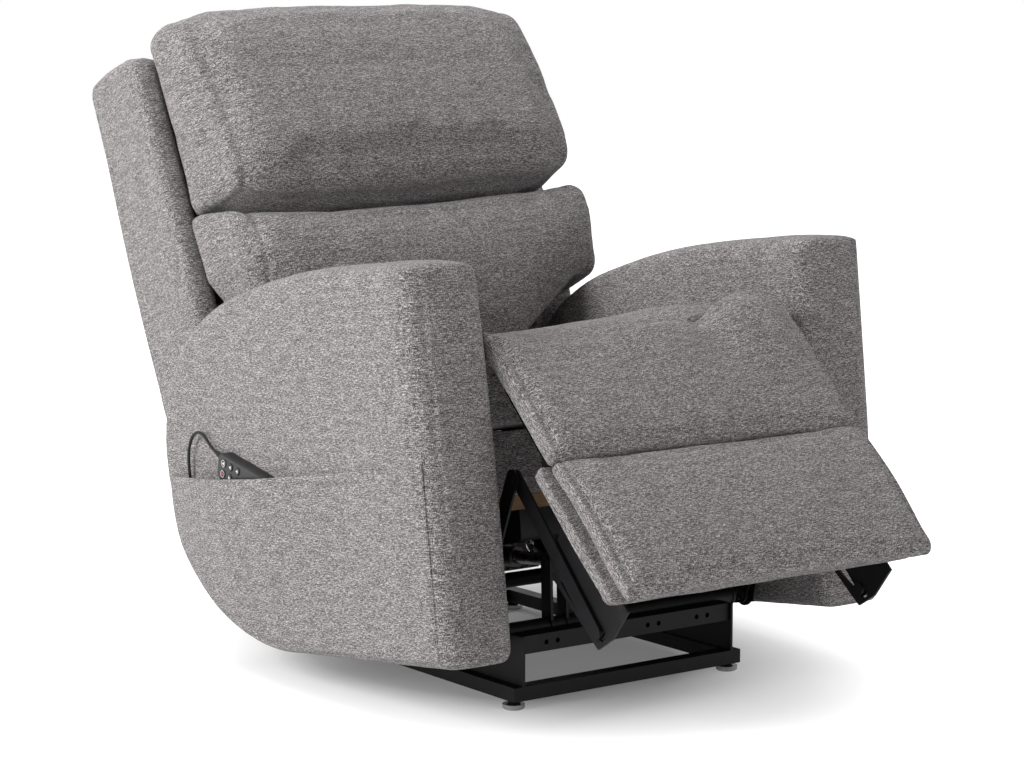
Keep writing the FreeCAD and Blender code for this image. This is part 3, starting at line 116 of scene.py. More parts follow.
def points_of(obj):
    """The vertices of an object as an array."""
    co = np.empty(len(obj.data.vertices) * 3, np.float32)
    obj.data.vertices.foreach_get("co", co)
    return co.reshape(-1, 3)


def set_points(obj, co):
    """Write an array back to the vertices."""
    obj.data.vertices.foreach_set("co", np.asarray(co, np.float32).ravel())
    obj.data.update()


def normals_of(obj):
    """The vertex normals of an object as an array."""
    n = np.empty(len(obj.data.vertices) * 3, np.float32)
    obj.data.vertices.foreach_get("normal", n)
    return n.reshape(-1, 3)


def local(obj, matrix):
    """The vertices in a drawing frame, as an array."""
    inv = np.array(matrix.inverted())
    return points_of(obj) @ inv[:3, :3].T + inv[:3, 3]


def pushed(obj, amount):
    """Move each vertex along its normal by its own amount."""
    set_points(obj, points_of(obj) + normals_of(obj) * np.asarray(amount)[:, None])
    return obj


def moved(obj, matrix, shift):
    """Move each vertex by its own step, given in a drawing frame."""
    turn = np.array(matrix)[:3, :3]
    set_points(obj, points_of(obj) + np.asarray(shift) @ turn.T)
    return obj


print("mesh helpers ready")

# %% [markdown]
# ## Baked modifiers
# Real covers have round edges, even stuffing and no facets. Remesh, smooth and subdivide do
# this as modifiers, and so does the cloth that puffs a cushion up. They could stay live in the
# stack, but the next step counts on final points. So each is baked as soon as it has done its
# work, and the cloth is held to a cap, because a cushion that swells freely would grow into its
# neighbour.

# %% Baked modifiers
def applied(obj):
    """Bake an object's modifiers into its mesh."""
    depsgraph = bpy.context.evaluated_depsgraph_get()
    mesh = bpy.data.meshes.new_from_object(obj.evaluated_get(depsgraph))
    obj.modifiers.clear()
    obj.data = mesh
    mesh.polygons.foreach_set("use_smooth", [True] * len(mesh.polygons))
    return obj


def remeshed(obj, voxel):
    """Even quads all over the object."""
    mod = obj.modifiers.new("even", "REMESH")
    mod.mode = "VOXEL"
    mod.voxel_size = voxel
    mod.use_smooth_shade = True
    return applied(obj)


def smoothed(obj, rounds, factor=0.5):
    """Round the edges by plain smoothing."""
    mod = obj.modifiers.new("soft", "SMOOTH")
    mod.iterations = rounds
    mod.factor = factor
    return applied(obj)


def subdivided(obj):
    """One level of subdivision."""
    mod = obj.modifiers.new("fine", "SUBSURF")
    mod.levels = mod.render_levels = 1
    return applied(obj)


CLOTH_STIFFNESS = 15.0
CLOTH_FRAMES = 20
INWARD_CUT = 0.8


def puffed(obj, pressure, cap):
    """Blow the piece up as cloth, no point further than the cap, and hardly any inward."""
    start = points_of(obj).copy()
    mod = obj.modifiers.new("cloth", "CLOTH")
    s = mod.settings
    s.quality = 4
    s.use_pressure = True
    s.uniform_pressure_force = pressure
    s.effector_weights.gravity = 0
    s.tension_stiffness = s.compression_stiffness = CLOTH_STIFFNESS
    s.bending_stiffness = 1.0
    mod.collision_settings.use_collision = False
    mod.point_cache.frame_start, mod.point_cache.frame_end = 1, CLOTH_FRAMES
    for f in range(1, CLOTH_FRAMES + 1):
        scene.frame_set(f)
    depsgraph = bpy.context.evaluated_depsgraph_get()
    mesh = bpy.data.meshes.new_from_object(obj.evaluated_get(depsgraph))
    end = np.empty(len(mesh.vertices) * 3, np.float32)
    mesh.vertices.foreach_get("co", end)
    move = end.reshape(-1, 3) - start
    inward = np.minimum((move * normals_of(obj)).sum(1), 0)
    move -= INWARD_CUT * inward[:, None] * normals_of(obj)
    far = np.linalg.norm(move, axis=1)
    move *= (np.minimum(far, cap) / np.maximum(far, 1e-9))[:, None]
    obj.modifiers.clear()
    scene.frame_set(1)
    set_points(obj, start + move)
    print(obj.name, "puffed by up to", round(float(far.max()) * 1000, 1), "mm, cap", cap * 1000)
    return obj


print("baking ready, cloth runs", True)

# %% [markdown]
# ## Slopes, bells and ripples
# Seams, tucks and swells on a real chair fade out softly. A brush has such a falloff, and a
# weight group could be painted for each. A formula is shorter and exact: a slope between two
# places, a bell over a line, a quarter round for a roll, and a few crossed waves for the
# unevenness of stuffing. The waves have a fixed seed, so that each run gives the same cloth.

# %% Slopes, bells and ripples
def bell(distance, width):
    """One on the line, falling smoothly to nothing away from it."""
    return np.exp(-((distance / width) ** 2))


def rise(value, start, width):
    """Nothing up to the start, one from the start and a width on, a straight slope between."""
    return np.clip((value - start) / width, 0, 1)


def fall(value, end, width):
    """Nothing from the end on, one from a width before it down, a straight slope between."""
    return np.clip((end - value) / width, 0, 1)


WAVES = 7


def wrinkles(p, scale, seed):
    """A smooth, seeded ripple field made of a few crossing waves."""
    rng = np.random.default_rng(seed)
    total = np.zeros(len(p))
    for i in range(WAVES):
        d = rng.normal(size=3)
        d /= np.linalg.norm(d)
        k = 2 * pi / (scale * rng.uniform(0.6, 1.7))
        total += np.sin(p @ d * k + rng.uniform(0, 2 * pi)) / WAVES
    return total


def quarter_round(share):
    """How far a quarter round has fallen back, at a share of its width."""
    return 1 - np.sqrt(1 - np.clip(share, 0, 1) ** 2)


print("a bell falls to", round(float(bell(1.0, 1.0)), 3), "at its width")

# %% [markdown]
# ## Weave coordinates
# On the real chair the cloth is cut with its threads along each panel. Unwrapping by hand would
# give the same lines, with much more work. So each face takes its thread coordinates in metres
# from the piece's own frame, seen along the axis that it faces most. Where that axis changes,
# at an edge, the cloth would be sewn anyway.

# %% Weave coordinates
def threads(obj, matrix):
    """Give an object thread coordinates in metres."""
    mesh = obj.data
    inv = matrix.inverted()
    turn = np.array(inv.to_3x3())
    co = local(obj, matrix)
    count = len(mesh.loops)
    loop_vert = np.empty(count, np.int32)
    mesh.loops.foreach_get("vertex_index", loop_vert)
    face_n = np.empty(len(mesh.polygons) * 3, np.float32)
    mesh.polygons.foreach_get("normal", face_n)
    face_n = np.abs(face_n.reshape(-1, 3) @ turn.T)
    sizes = np.empty(len(mesh.polygons), np.int32)
    mesh.polygons.foreach_get("loop_total", sizes)
    axis = np.repeat(face_n.argmax(axis=1), sizes)
    p = co[loop_vert]
    u = np.where(axis == 0, p[:, 1], p[:, 0])
    v = np.where(axis == 2, p[:, 1], p[:, 2])
    layer = mesh.uv_layers.get("weave") or mesh.uv_layers.new(name="weave")
    layer.data.foreach_set("uv", np.stack([u, v], 1).astype(np.float32).ravel())
    return obj


# %% [markdown]
# ## Shader helper
# Each material is a small tree of nodes, the same ones that the shader editor shows. They could
# be placed and linked there by hand. A short class does it in words: it adds a node with its
# values, links what is a socket, and sets what is a plain number on the shader itself, so that
# the number is easy to find there.

# %% Shader helper
class Nodes:
    """A short way to write shader nodes."""

    def __init__(self, name):
        self.mat = bpy.data.materials.new(name)
        self.mat.use_nodes = True
        self.tree = self.mat.node_tree
        self.bsdf = self.tree.nodes["Principled BSDF"]

    def add(self, kind, inputs=None, **settings):
        """One node, with its settings and its inputs, each a value or another node's socket."""
        node = self.tree.nodes.new(kind)
        for key, value in settings.items():
            setattr(node, key, value)
        for key, value in (inputs or {}).items():
            socket = node.inputs[key]
            if isinstance(value, bpy.types.NodeSocket):
                self.tree.links.new(value, socket)
            else:
                socket.default_value = value
        return node

    def math(self, operation, a, b=0.0):
        """One sum."""
        return self.add("ShaderNodeMath", {0: a, 1: b}, operation=operation).outputs[0]

    def ramp(self, value, stops):
        """A colour ramp from (place, colour) pairs."""
        node = self.add("ShaderNodeValToRGB", {0: value})
        elements = node.color_ramp.elements
        while len(elements) < len(stops):
            elements.new(0.5)
        for element, (place, colour) in zip(elements, stops):
            element.position = place
            element.color = (*colour, 1.0)
        return node.outputs[0]

    def noise(self, where, scale, detail=2.0, rough=0.5):
        """A noise value."""
        inputs = {"Vector": where, "Scale": scale, "Detail": detail, "Roughness": rough}
        return self.add("ShaderNodeTexNoise", inputs).outputs[0]

    def stretched(self, where, scale):
        """Coordinates scaled by a different number along each axis."""
        return self.add("ShaderNodeMapping", {"Vector": where, "Scale": scale}).outputs[0]

    def mixed(self, factor, a, b):
        """A value between two others."""
        return self.add("ShaderNodeMix", {0: factor, 2: a, 3: b}, data_type="FLOAT").outputs[0]

    def finish(self, colour, rough, bump=None, depth=0.001, strength=1.0, **constants):
        """Wire the shader: colour, roughness, bump, and plain numbers set on its own sockets."""
        self.tree.links.new(colour, self.bsdf.inputs["Base Color"])
        if isinstance(rough, bpy.types.NodeSocket):
            self.tree.links.new(rough, self.bsdf.inputs["Roughness"])
        else:
            self.bsdf.inputs["Roughness"].default_value = rough
        if bump is not None:
            raised = {"Height": bump, "Distance": depth, "Strength": strength}
            node = self.add("ShaderNodeBump", raised)
            self.tree.links.new(node.outputs[0], self.bsdf.inputs["Normal"])
        for key, value in constants.items():
            self.bsdf.inputs[key.replace("_", " ")].default_value = value
        return self.mat


print("shader helper ready")

# %% [markdown]
# ## Tweed
# The upholstery is a plain weave of heathered grey threads with short light slubs. It could
# come from a picture of cloth, but a picture repeats and blurs close up. Here one noise is
# drawn out along the warp and one along the weft, and a checker says which thread lies on top.
# Slubs and a slow drift of tone break up the evenness, and the same pattern raises the threads
# in the bump.

# %% Tweed
THREAD = 0.0015
WOBBLE = (0.0012, 0.0012, 0.0)
YARN_SHARE, SLUB_SHARE, PATCH_SHARE = 0.58, 0.32, 0.10
YARN_RAMP = [(0.39, (0.018, 0.017, 0.019)), (0.45, (0.090, 0.082, 0.085)),
             (0.52, (0.275, 0.254, 0.255)), (0.60, (0.800, 0.745, 0.735))]


def thread_backs(n, place, axis):
    """The round backs of the threads, one after the other along an axis."""
    along = n.add("ShaderNodeSeparateXYZ", {0: place}).outputs[axis]
    return n.math("ABSOLUTE", n.math("SINE", n.math("MULTIPLY", along, pi / THREAD)))


def tweed():
    """Heathered grey tweed."""
    n = Nodes("tweed")
    uv = n.add("ShaderNodeUVMap", None, uv_map="weave").outputs[0]
    drift = n.add("ShaderNodeTexNoise", {"Vector": uv, "Scale": 60.0}).outputs[1]
    bend = n.add("ShaderNodeVectorMath", {0: drift, 1: WOBBLE}, operation="MULTIPLY").outputs[0]
    place = n.add("ShaderNodeVectorMath", {0: uv, 1: bend}, operation="ADD").outputs[0]
    warp = n.noise(n.stretched(place, (1 / THREAD, 0.45 / THREAD, 1)), 1.0, 2.0, 0.6)
    weft = n.noise(n.stretched(place, (0.28 / THREAD, 1 / THREAD, 1)), 1.0, 2.0, 0.6)
    over = n.add("ShaderNodeTexChecker", {"Vector": place, "Scale": 1 / THREAD}).outputs[1]
    yarn = n.mixed(over, warp, weft)
    slub = n.noise(n.stretched(place, (110, 620, 1)), 1.0, 2.0, 0.6)
    patch = n.noise(n.stretched(place, (26, 110, 1)), 1.0, 2.0, 0.5)
    tone = n.math("MULTIPLY", yarn, YARN_SHARE)
    tone = n.math("ADD", tone, n.math("MULTIPLY", slub, SLUB_SHARE))
    tone = n.math("ADD", tone, n.math("MULTIPLY", patch, PATCH_SHARE))
    colour = n.ramp(tone, YARN_RAMP)
    backs = n.mixed(over, thread_backs(n, place, 0), thread_backs(n, place, 1))
    height = n.math("ADD", backs, n.math("MULTIPLY", tone, 1.6))
    rough = n.math("ADD", n.math("MULTIPLY", tone, 0.25), 0.78)
    return n.finish(colour, rough, height, 0.0008, 0.85, Sheen_Weight=0.25,
                    Sheen_Roughness=0.45, Specular_IOR_Level=0.25)


TWEED = tweed()


def upholstered(obj, matrix):
    """Give a piece the tweed and its thread coordinates."""
    obj.data.materials.clear()
    obj.data.materials.append(TWEED)
    threads(obj, matrix)
    return obj


print("tweed with threads of", THREAD * 1000, "mm")

# %% [markdown]
# ## Hard materials
# The base and links are powder coated: a satin black with a fine orange peel and a little dust.
# Pins and rods are plated and turned, so their marks run round them. Boxes, keys and the cord
# are moulded plastic and rubber, and the hidden rails are planed timber. Each is one noise or
# two on the shader's own sockets. Painted pictures of wear would look richer close up, but
# these parts stand in the shade.

# %% Hard materials
def powder_coat():
    """Satin black powder coat with a fine orange peel and a cloudy film of dust."""
    n = Nodes("powder_coat")
    at = n.add("ShaderNodeTexCoord").outputs["Object"]
    peel = n.noise(at, 900.0, 2.0)
    dust = n.noise(at, 14.0, 4.0, 0.6)
    colour = n.ramp(dust, [(0.30, (0.0035, 0.0035, 0.004)), (0.62, (0.006, 0.006, 0.007)),
                           (0.85, (0.018, 0.018, 0.019))])
    rough = n.math("ADD", n.math("MULTIPLY", dust, 0.28), 0.36)
    return n.finish(colour, rough, peel, 0.0002, 0.35, Specular_IOR_Level=0.15)


def bright_zinc():
    """Bright plated steel with fine turning marks."""
    n = Nodes("bright_zinc")
    at = n.add("ShaderNodeTexCoord").outputs["Object"]
    lines = n.noise(n.stretched(at, (60, 60, 2400)), 1.0, 2.0)
    cloud = n.noise(at, 45.0, 3.0)
    colour = n.ramp(cloud, [(0.3, (0.20, 0.20, 0.21)), (0.7, (0.42, 0.42, 0.43))])
    rough = n.math("ADD", n.math("MULTIPLY", lines, 0.2), 0.14)
    return n.finish(colour, rough, lines, 0.0001, 0.3, Metallic=1.0)


def moulded(name, dark, light, rough_low):
    """Fine-grained black plastic or rubber."""
    n = Nodes(name)
    at = n.add("ShaderNodeTexCoord").outputs["Object"]
    grain = n.add("ShaderNodeTexVoronoi", {"Vector": at, "Scale": 1500.0}).outputs[0]
    haze = n.noise(at, 25.0, 3.0)
    colour = n.ramp(haze, [(0.3, (dark, dark, dark * 1.05)), (0.75, (light, light, light * 1.03))])
    rough = n.math("ADD", n.math("MULTIPLY", haze, 0.2), rough_low)
    return n.finish(colour, rough, grain, 0.0001, 0.4, Specular_IOR_Level=0.28)


def pine():
    """Planed timber with long grain."""
    n = Nodes("pine")
    at = n.add("ShaderNodeTexCoord").outputs["Object"]
    along = n.stretched(at, (3.0, 22.0, 22.0))
    grain = n.noise(along, 1.0, 6.0, 0.6)
    fine = n.noise(n.stretched(at, (12.0, 300.0, 300.0)), 1.0, 3.0)
    tone = n.math("ADD", n.math("MULTIPLY", grain, 0.7), n.math("MULTIPLY", fine, 0.3))
    colour = n.ramp(tone, [(0.35, (0.090, 0.045, 0.018)), (0.52, (0.190, 0.105, 0.045)),
                           (0.68, (0.300, 0.190, 0.095))])
    return n.finish(colour, 0.62, tone, 0.0006, 0.4)


def printed(name, colour, glow=0.0):
    """A matt print or a small lit lens, a little uneven."""
    n = Nodes(name)
    at = n.add("ShaderNodeTexCoord").outputs["Object"]
    worn = n.noise(at, 900.0, 2.0)
    darker = tuple(c * 0.7 for c in colour)
    tone = n.ramp(worn, [(0.3, darker), (0.6, colour)])
    return n.finish(tone, 0.5, worn, 0.00005, 0.3, Emission_Color=(*colour, 1.0),
                    Emission_Strength=glow)


PRINTS = {"white_print": printed("white_print", (0.72, 0.72, 0.72)),
          "red_print": printed("red_print", (0.55, 0.03, 0.03)),
          "green_light": printed("green_light", (0.05, 0.75, 0.15), 0.6)}
MATERIALS = {"tweed": TWEED, "black_steel": powder_coat(), "bright_steel": bright_zinc(),
             "black_plastic": moulded("black_plastic", 0.005, 0.011, 0.22),
             "black_rubber": moulded("black_rubber", 0.005, 0.012, 0.50), "timber": pine()}
print("materials", len(MATERIALS))


# %% [markdown]
# ## CAD nodes that stay
# Steel, plastic, rubber and timber parts are already exact in the CAD model, down to their
# holes and pins. They could be modelled again with more wear, but then two shapes would have to
# agree. So they keep their shapes and take the materials above, by the slot that the record
# gives each of them.

# %% CAD nodes that stay
for entry in frame["record"]["subparts"]:
    obj = NODES[entry["node"]]
    slot = entry["material_slot"]
    if slot == "tweed":
        continue
    obj.data.materials.clear()
    obj.data.materials.append(MATERIALS[slot])
print("dressed the nodes that stay")

# %% [markdown]
# ## How a cushion is made
# A cushion is a sewn cover, stuffed until it is tight. It could be sculpted, or sewn in cloth
# from flat panels. Here it starts from its CAD solid, drawn in a little, is meshed evenly and
# blown up by cloth pressure, no point further than a cap. So it gets a real bulge and still
# keeps clear of its neighbours.

# %% How a cushion is made
def refit(obj, node, matrix, grow):
    """Bring a piece that smoothing has shrunk back to its solid's size, and a little over."""
    src = NODES[node]
    inv = np.array((matrix.inverted() @ src.matrix_world))
    want = points_of(src) @ inv[:3, :3].T + inv[:3, 3]
    have = local(obj, matrix)
    w0, w1 = want.min(0) - grow, want.max(0) + grow
    h0, h1 = have.min(0), have.max(0)
    have = (have - (h0 + h1) / 2) * (w1 - w0) / (h1 - h0) + (w0 + w1) / 2
    out = np.array(matrix)
    set_points(obj, have @ out[:3, :3].T + out[:3, 3])
    return obj


DRAWN_IN = 0.004
PRESSURE = 4.0


def cushion(name, node, body, matrix, shape, cap, grow, voxel=0.0075, rounds=4):
    """A cushion that stands for a CAD solid; with two points as its body it is baked in place and
    attached to no body.
    """
    obj = remeshed(copied(node, name), voxel)
    smoothed(obj, rounds)
    pushed(obj, np.full(len(obj.data.vertices), -DRAWN_IN))
    puffed(obj, PRESSURE, cap)
    smoothed(obj, 3)
    refit(obj, node, matrix, grow)
    subdivided(obj)
    shape(obj)
    upholstered(obj, matrix)
    if isinstance(body, tuple):
        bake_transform(obj)
    else:
        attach(obj, body)
    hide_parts(node)
    return obj


print("cushions are drawn in by", DRAWN_IN * 1000, "mm before they swell")

# %% [markdown]
# ## Head pillow and lumbar cushion
# The pillow hangs over the lumbar cushion, and a deep crease that sags toward the near side
# parts them. Two boxes with a gap would show a slot, so the pillow gets a roll along its bottom
# and the lumbar cushion rolls back under it. Both follow one table for the sag. The ends are
# boxed, with a seam, a tuck and a little more fullness at the rear.

# %% Head pillow and lumbar cushion
HALF_WIDTH = 0.349
END_SEAM = 0.322
CREASE = 0.482
CREASE_SAG = np.array([(-0.349, 0.008), (-0.30, 0.017), (-0.17, 0.028), (0.056, 0.021),
                       (0.21, 0.011), (0.30, 0.005), (0.349, 0.001)])


def crease_sag(x):
    """How far the crease under the pillow hangs below its straight line."""
    return np.interp(x, CREASE_SAG[:, 0], CREASE_SAG[:, 1])


def front_and_ends(p):
    """How far each point is toward a back cushion's front, and its far and near front ends."""
    front = np.clip(-p[:, 1] / 0.10, 0, 1)
    toward = p[:, 0] / HALF_WIDTH
    return front, np.clip(toward, 0, 1) ** 4 * front, np.clip(-toward, 0, 1) ** 4 * front


def shape_pillow(obj):
    """The head pillow: soft ends, and a roll at the bottom that hangs over the crease."""
    p = local(obj, BACK)
    x, z = p[:, 0], p[:, 2]
    side, side_x = np.sign(x), np.abs(x)
    front, far_end, near_end = front_and_ends(p)
    under = quarter_round((CREASE + 0.045 - z) / 0.045)
    lip = bell(z - 0.560, 0.050) * front
    down = crease_sag(x) * fall(z, 0.66, 0.16)
    ends = rise(side_x, 0.20, 0.149) ** 2 * fall(z, 0.62, 0.10)
    crown = rise(z, 0.74, 0.10) * (0.006 - 0.012 * rise(x, 0, 0.30) ** 2)
    rear = rise(side_x, 0.30, 0.04) * bell(p[:, 1], 0.060)
    wider = -0.012 * x * under - 0.004 * ends * side + 0.022 * rear * side + 0.006 * far_end
    back = 0.036 * under * front - 0.008 * lip - 0.014 * far_end + 0.014 * near_end
    moved(obj, BACK, np.stack([wider, back, -down - crown], 1))
    seam = bell(side_x - END_SEAM, 0.006) * (p[:, 1] < 0.01)
    tuck = bell(side_x - 0.318, 0.020) * bell(z - 0.515, 0.050) * front
    gather = bell(z - 0.500, 0.035) * wrinkles(p * (1.0, 0.2, 0.2), 0.08, 3)
    pushed(obj, -0.0016 * seam - 0.0045 * tuck + 0.0014 * gather + 0.0034 * wrinkles(p, 0.24, 5))


def shape_lumbar(obj):
    """The lumbar cushion: its top rolls back under the pillow, and its ends are boxed."""
    p = local(obj, BACK)
    x, z = p[:, 0], p[:, 2]
    side, side_x = np.sign(x), np.abs(x)
    front, far_end, near_end = front_and_ends(p)
    top = quarter_round((z - 0.425) / (CREASE - 0.425))
    down = crease_sag(x) * rise(z, 0.34, 0.14)
    rear = rise(side_x, 0.30, 0.04) * bell(p[:, 1], 0.060) * rise(z, 0.33, 0.04)
    corner = rise(side_x, 0.29, 0.05) * bell(p[:, 1], 0.080) * rise(z, 0.39, 0.06)
    wider = -0.010 * x * top + 0.020 * rear * side + 0.008 * far_end * rise(z, 0.36, 0.05)
    back = 0.046 * top * front - 0.012 * far_end + 0.014 * near_end
    moved(obj, BACK, np.stack([wider, back, 0.024 * corner - down], 1))
    seam = bell(side_x - END_SEAM, 0.0045) * (p[:, 1] < 0.01) * (z > 0.3)
    pull = bell(side_x - 0.30, 0.04) * bell(z - 0.33, 0.06) * wrinkles(p * (0.3, 1, 1), 0.07, 7)
    tuck = bell(x + 0.318, 0.014) * bell(z - 0.445, 0.035) * front
    pushed(obj, -0.0030 * seam - 0.0040 * tuck + 0.0018 * pull + 0.0030 * wrinkles(p, 0.24, 9))


pillow = cushion("head_pillow_soft", "head_pillow", "back", BACK, shape_pillow, 0.016,
                 (0.004, 0.0, 0.002))
lumbar = cushion("lumbar_cushion_soft", "lumbar_cushion", "back", BACK, shape_lumbar, 0.012,
                 (0.004, 0.0, 0.0))
print("back cushions", [len(o.data.vertices) for o in (pillow, lumbar)], "points")

# %% [markdown]
# ## Seat cushion
# Of the seat only the rim behind the chaise pad shows, with low lobes and a pull between them.
# It could be one plain box in the shade, but the light from the left catches the lobes. They
# are three bells in a row, and the near side is a little lower, as in the photograph.

# %% Seat cushion
SEAT_LOBES = ((0.190, 0.085, 0.012), (-0.010, 0.090, 0.007), (-0.190, 0.080, 0.005))


def shape_seat(obj):
    """The seat: low lobes behind the chaise pad, with a pull between them."""
    p = local(obj, CHAIR)
    x, y = p[:, 0], p[:, 1]
    top = rise(p[:, 2], 0.44, 0.03)
    lobes = sum(height * bell(x - middle, width) for middle, width, height in SEAT_LOBES)
    pull = 0.009 * bell(x - 0.095, 0.024) * bell(y - 0.10, 0.050)
    hollow = 0.015 * (1 - rise(x, -0.02, 0.16)) * rise(y, 0, 0.03)
    lift = top * (lobes * bell(y - 0.120, 0.110) - pull - hollow)
    moved(obj, CHAIR, np.stack([0 * lift, 0 * lift, lift], 1))
    pushed(obj, 0.0025 * wrinkles(p, 0.18, 11))


seat = cushion("seat_cushion_soft", "seat_cushion", "chair", CHAIR, shape_seat, 0.010,
               (0.0, 0.0, 0.0))
print("seat", len(seat.data.vertices), "points")

# %% [markdown]
# ## Footrest pads
# The chaise pad bridges from the seat to the footrest, and a crease parts it from the toe pad,
# with a padded board behind. The bridge could be cut at the hinge, but then it would tear open
# in motion. So it stays one piece, baked where it lies and attached to neither the chair nor the
# footrest. Its upper end swells in two lobes, from a table read off the photograph.

# %% Footrest pads
PAD_SEAM = 0.284


def shape_pad(obj):
    """A footrest pad: a seam runs round its boxed ends."""
    p = local(obj, FOOT)
    seam = bell(np.abs(p[:, 0]) - PAD_SEAM, 0.004) * (p[:, 2] > -0.012)
    lower_seam = bell(p[:, 2] + 0.018, 0.0035) * (np.abs(p[:, 0]) > 0.27)
    pushed(obj, -0.0032 * seam - 0.0025 * lower_seam + 0.0026 * wrinkles(p, 0.17, 13))
    u = -p[:, 1]
    swell = 0.006 * rise(p[:, 0], 0.22, 0.06) * bell(u - 0.31, 0.11) * (p[:, 2] > -0.02)
    moved(obj, FOOT, np.stack([0 * u, 0 * u, swell], 1))


RIDGE = np.array([(-0.30, 0.006), (-0.27, 0.004), (-0.19, -0.010), (-0.10, -0.003),
                  (-0.02, 0.010), (0.04, 0.014), (0.105, -0.008), (0.15, 0.024),
                  (0.20, 0.040), (0.24, 0.034), (0.28, 0.012), (0.30, 0.000)])


def ridge_rise(x):
    """How far the chaise pad's upper end rises, across its width."""
    steps = np.linspace(-0.018, 0.018, 7)
    return np.mean([np.interp(x + d, RIDGE[:, 0], RIDGE[:, 1]) for d in steps], axis=0)


def shape_chaise(obj):
    """The chaise pad: its upper end swells in two lobes with a tufted pull between them."""
    shape_pad(obj)
    p = local(obj, FOOT)
    x, u = p[:, 0], -p[:, 1]
    high = fall(u, 0.17, 0.15)
    high = high * high * (3 - 2 * high) * rise(p[:, 2], -0.03, 0.03)
    corner = bell(x + 0.295, 0.030) * fall(u, 0.05, 0.05)
    rays = bell(np.hypot(x - 0.100, u - 0.015), 0.060) * wrinkles(p, 0.028, 12)
    folds = bell(x - 0.285, 0.030) * bell(u - 0.045, 0.045) * wrinkles(p * (0.3, 1, 1), 0.035, 14)
    lift = ridge_rise(x) * high + 0.004 * corner
    moved(obj, CHAIR, np.stack([-0.010 * corner, 0 * lift, lift], 1))
    pushed(obj, 0.0024 * rays + 0.0022 * folds)


def shape_board(obj):
    """The padded board: a welt line runs round its edge."""
    p = local(obj, FOOT)
    welt = bell(p[:, 2] + 0.046, 0.0030)
    pushed(obj, 0.0012 * wrinkles(p, 0.12, 15) - 0.0018 * welt)


CHAISE_BEND = CHAIR @ Vector((0, 0.050, 0.495)), foot_point(0, 0.090, 0.0)
chaise = cushion("chaise_pad_soft", "chaise_pad", CHAISE_BEND, FOOT, shape_chaise, 0.010,
                 (0.001, 0.0, 0.0), voxel=0.006, rounds=2)
toe_pad = cushion("footrest_pad_soft", "footrest_pad", "footrest", FOOT, shape_pad, 0.012,
                  (0.0, 0.002, 0.0), voxel=0.006, rounds=2)
board = cushion("footrest_board_soft", "footrest_board", "footrest", FOOT, shape_board, 0.003,
                (0.0, 0.0, 0.0), voxel=0.006, rounds=2)
print("footrest", [len(o.data.vertices) for o in (chaise, toe_pad, board)], "points")

# %% [markdown]
# ## Stretched panels
# Arms and shell are thin padding and cloth, stretched over timber. Pressure would make them
# bulge like cushions, so they are smoothed and not blown up, then brought back to the size of
# their solids.

# %% Stretched panels
PANEL_VOXEL = 0.0075
SKIN = (0.0005, 0.0, 0.0)


def panel(name, node, body, matrix, rounds, shape):
    """A stretched, padded panel that stands for a CAD solid."""
    obj = remeshed(copied(node, name), PANEL_VOXEL)
    smoothed(obj, rounds)
    refit(obj, node, matrix, SKIN)
    subdivided(obj)
    shape(obj)
    upholstered(obj, matrix)
    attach(obj, body)
    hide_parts(node)
    return obj


print("panels have a skin of", SKIN[0] * 1000, "mm")

# %% [markdown]
# ## Arms
# A boxing strip runs up the front of an arm, over its top and down its rear, a little crowned,
# between two soft seams. A bevel could round the front edge, but a bevel takes the edge loops
# of the whole outline with it. Here every point that is nearer to the edge than the radius is
# drawn back onto the round, as padding over a board lies.

# %% Arms
ARM_TOP_TRIM = np.array([(-0.10, -0.002), (0.03, -0.001), (0.19, 0.002), (0.30, 0.004),
                         (0.40, 0.005), (0.55, 0.003), (0.62, 0.0)])
ARM_TALL = 0.6
ARM_FRONT = -0.020, -0.010
ARM_OUTER, ARM_FLARE = 0.432, 0.017
ARM_INNER = 0.305
ARM_ROUND = 0.030


def arm_front(z):
    """Where an arm's front face stands at a height."""
    return ARM_FRONT[0] + (ARM_FRONT[1] - ARM_FRONT[0]) * rise(z, 0, ARM_TALL)


def arm_outer(z):
    """How far an arm's outer face is from the middle plane at a height."""
    return ARM_OUTER + ARM_FLARE * z / ARM_TALL


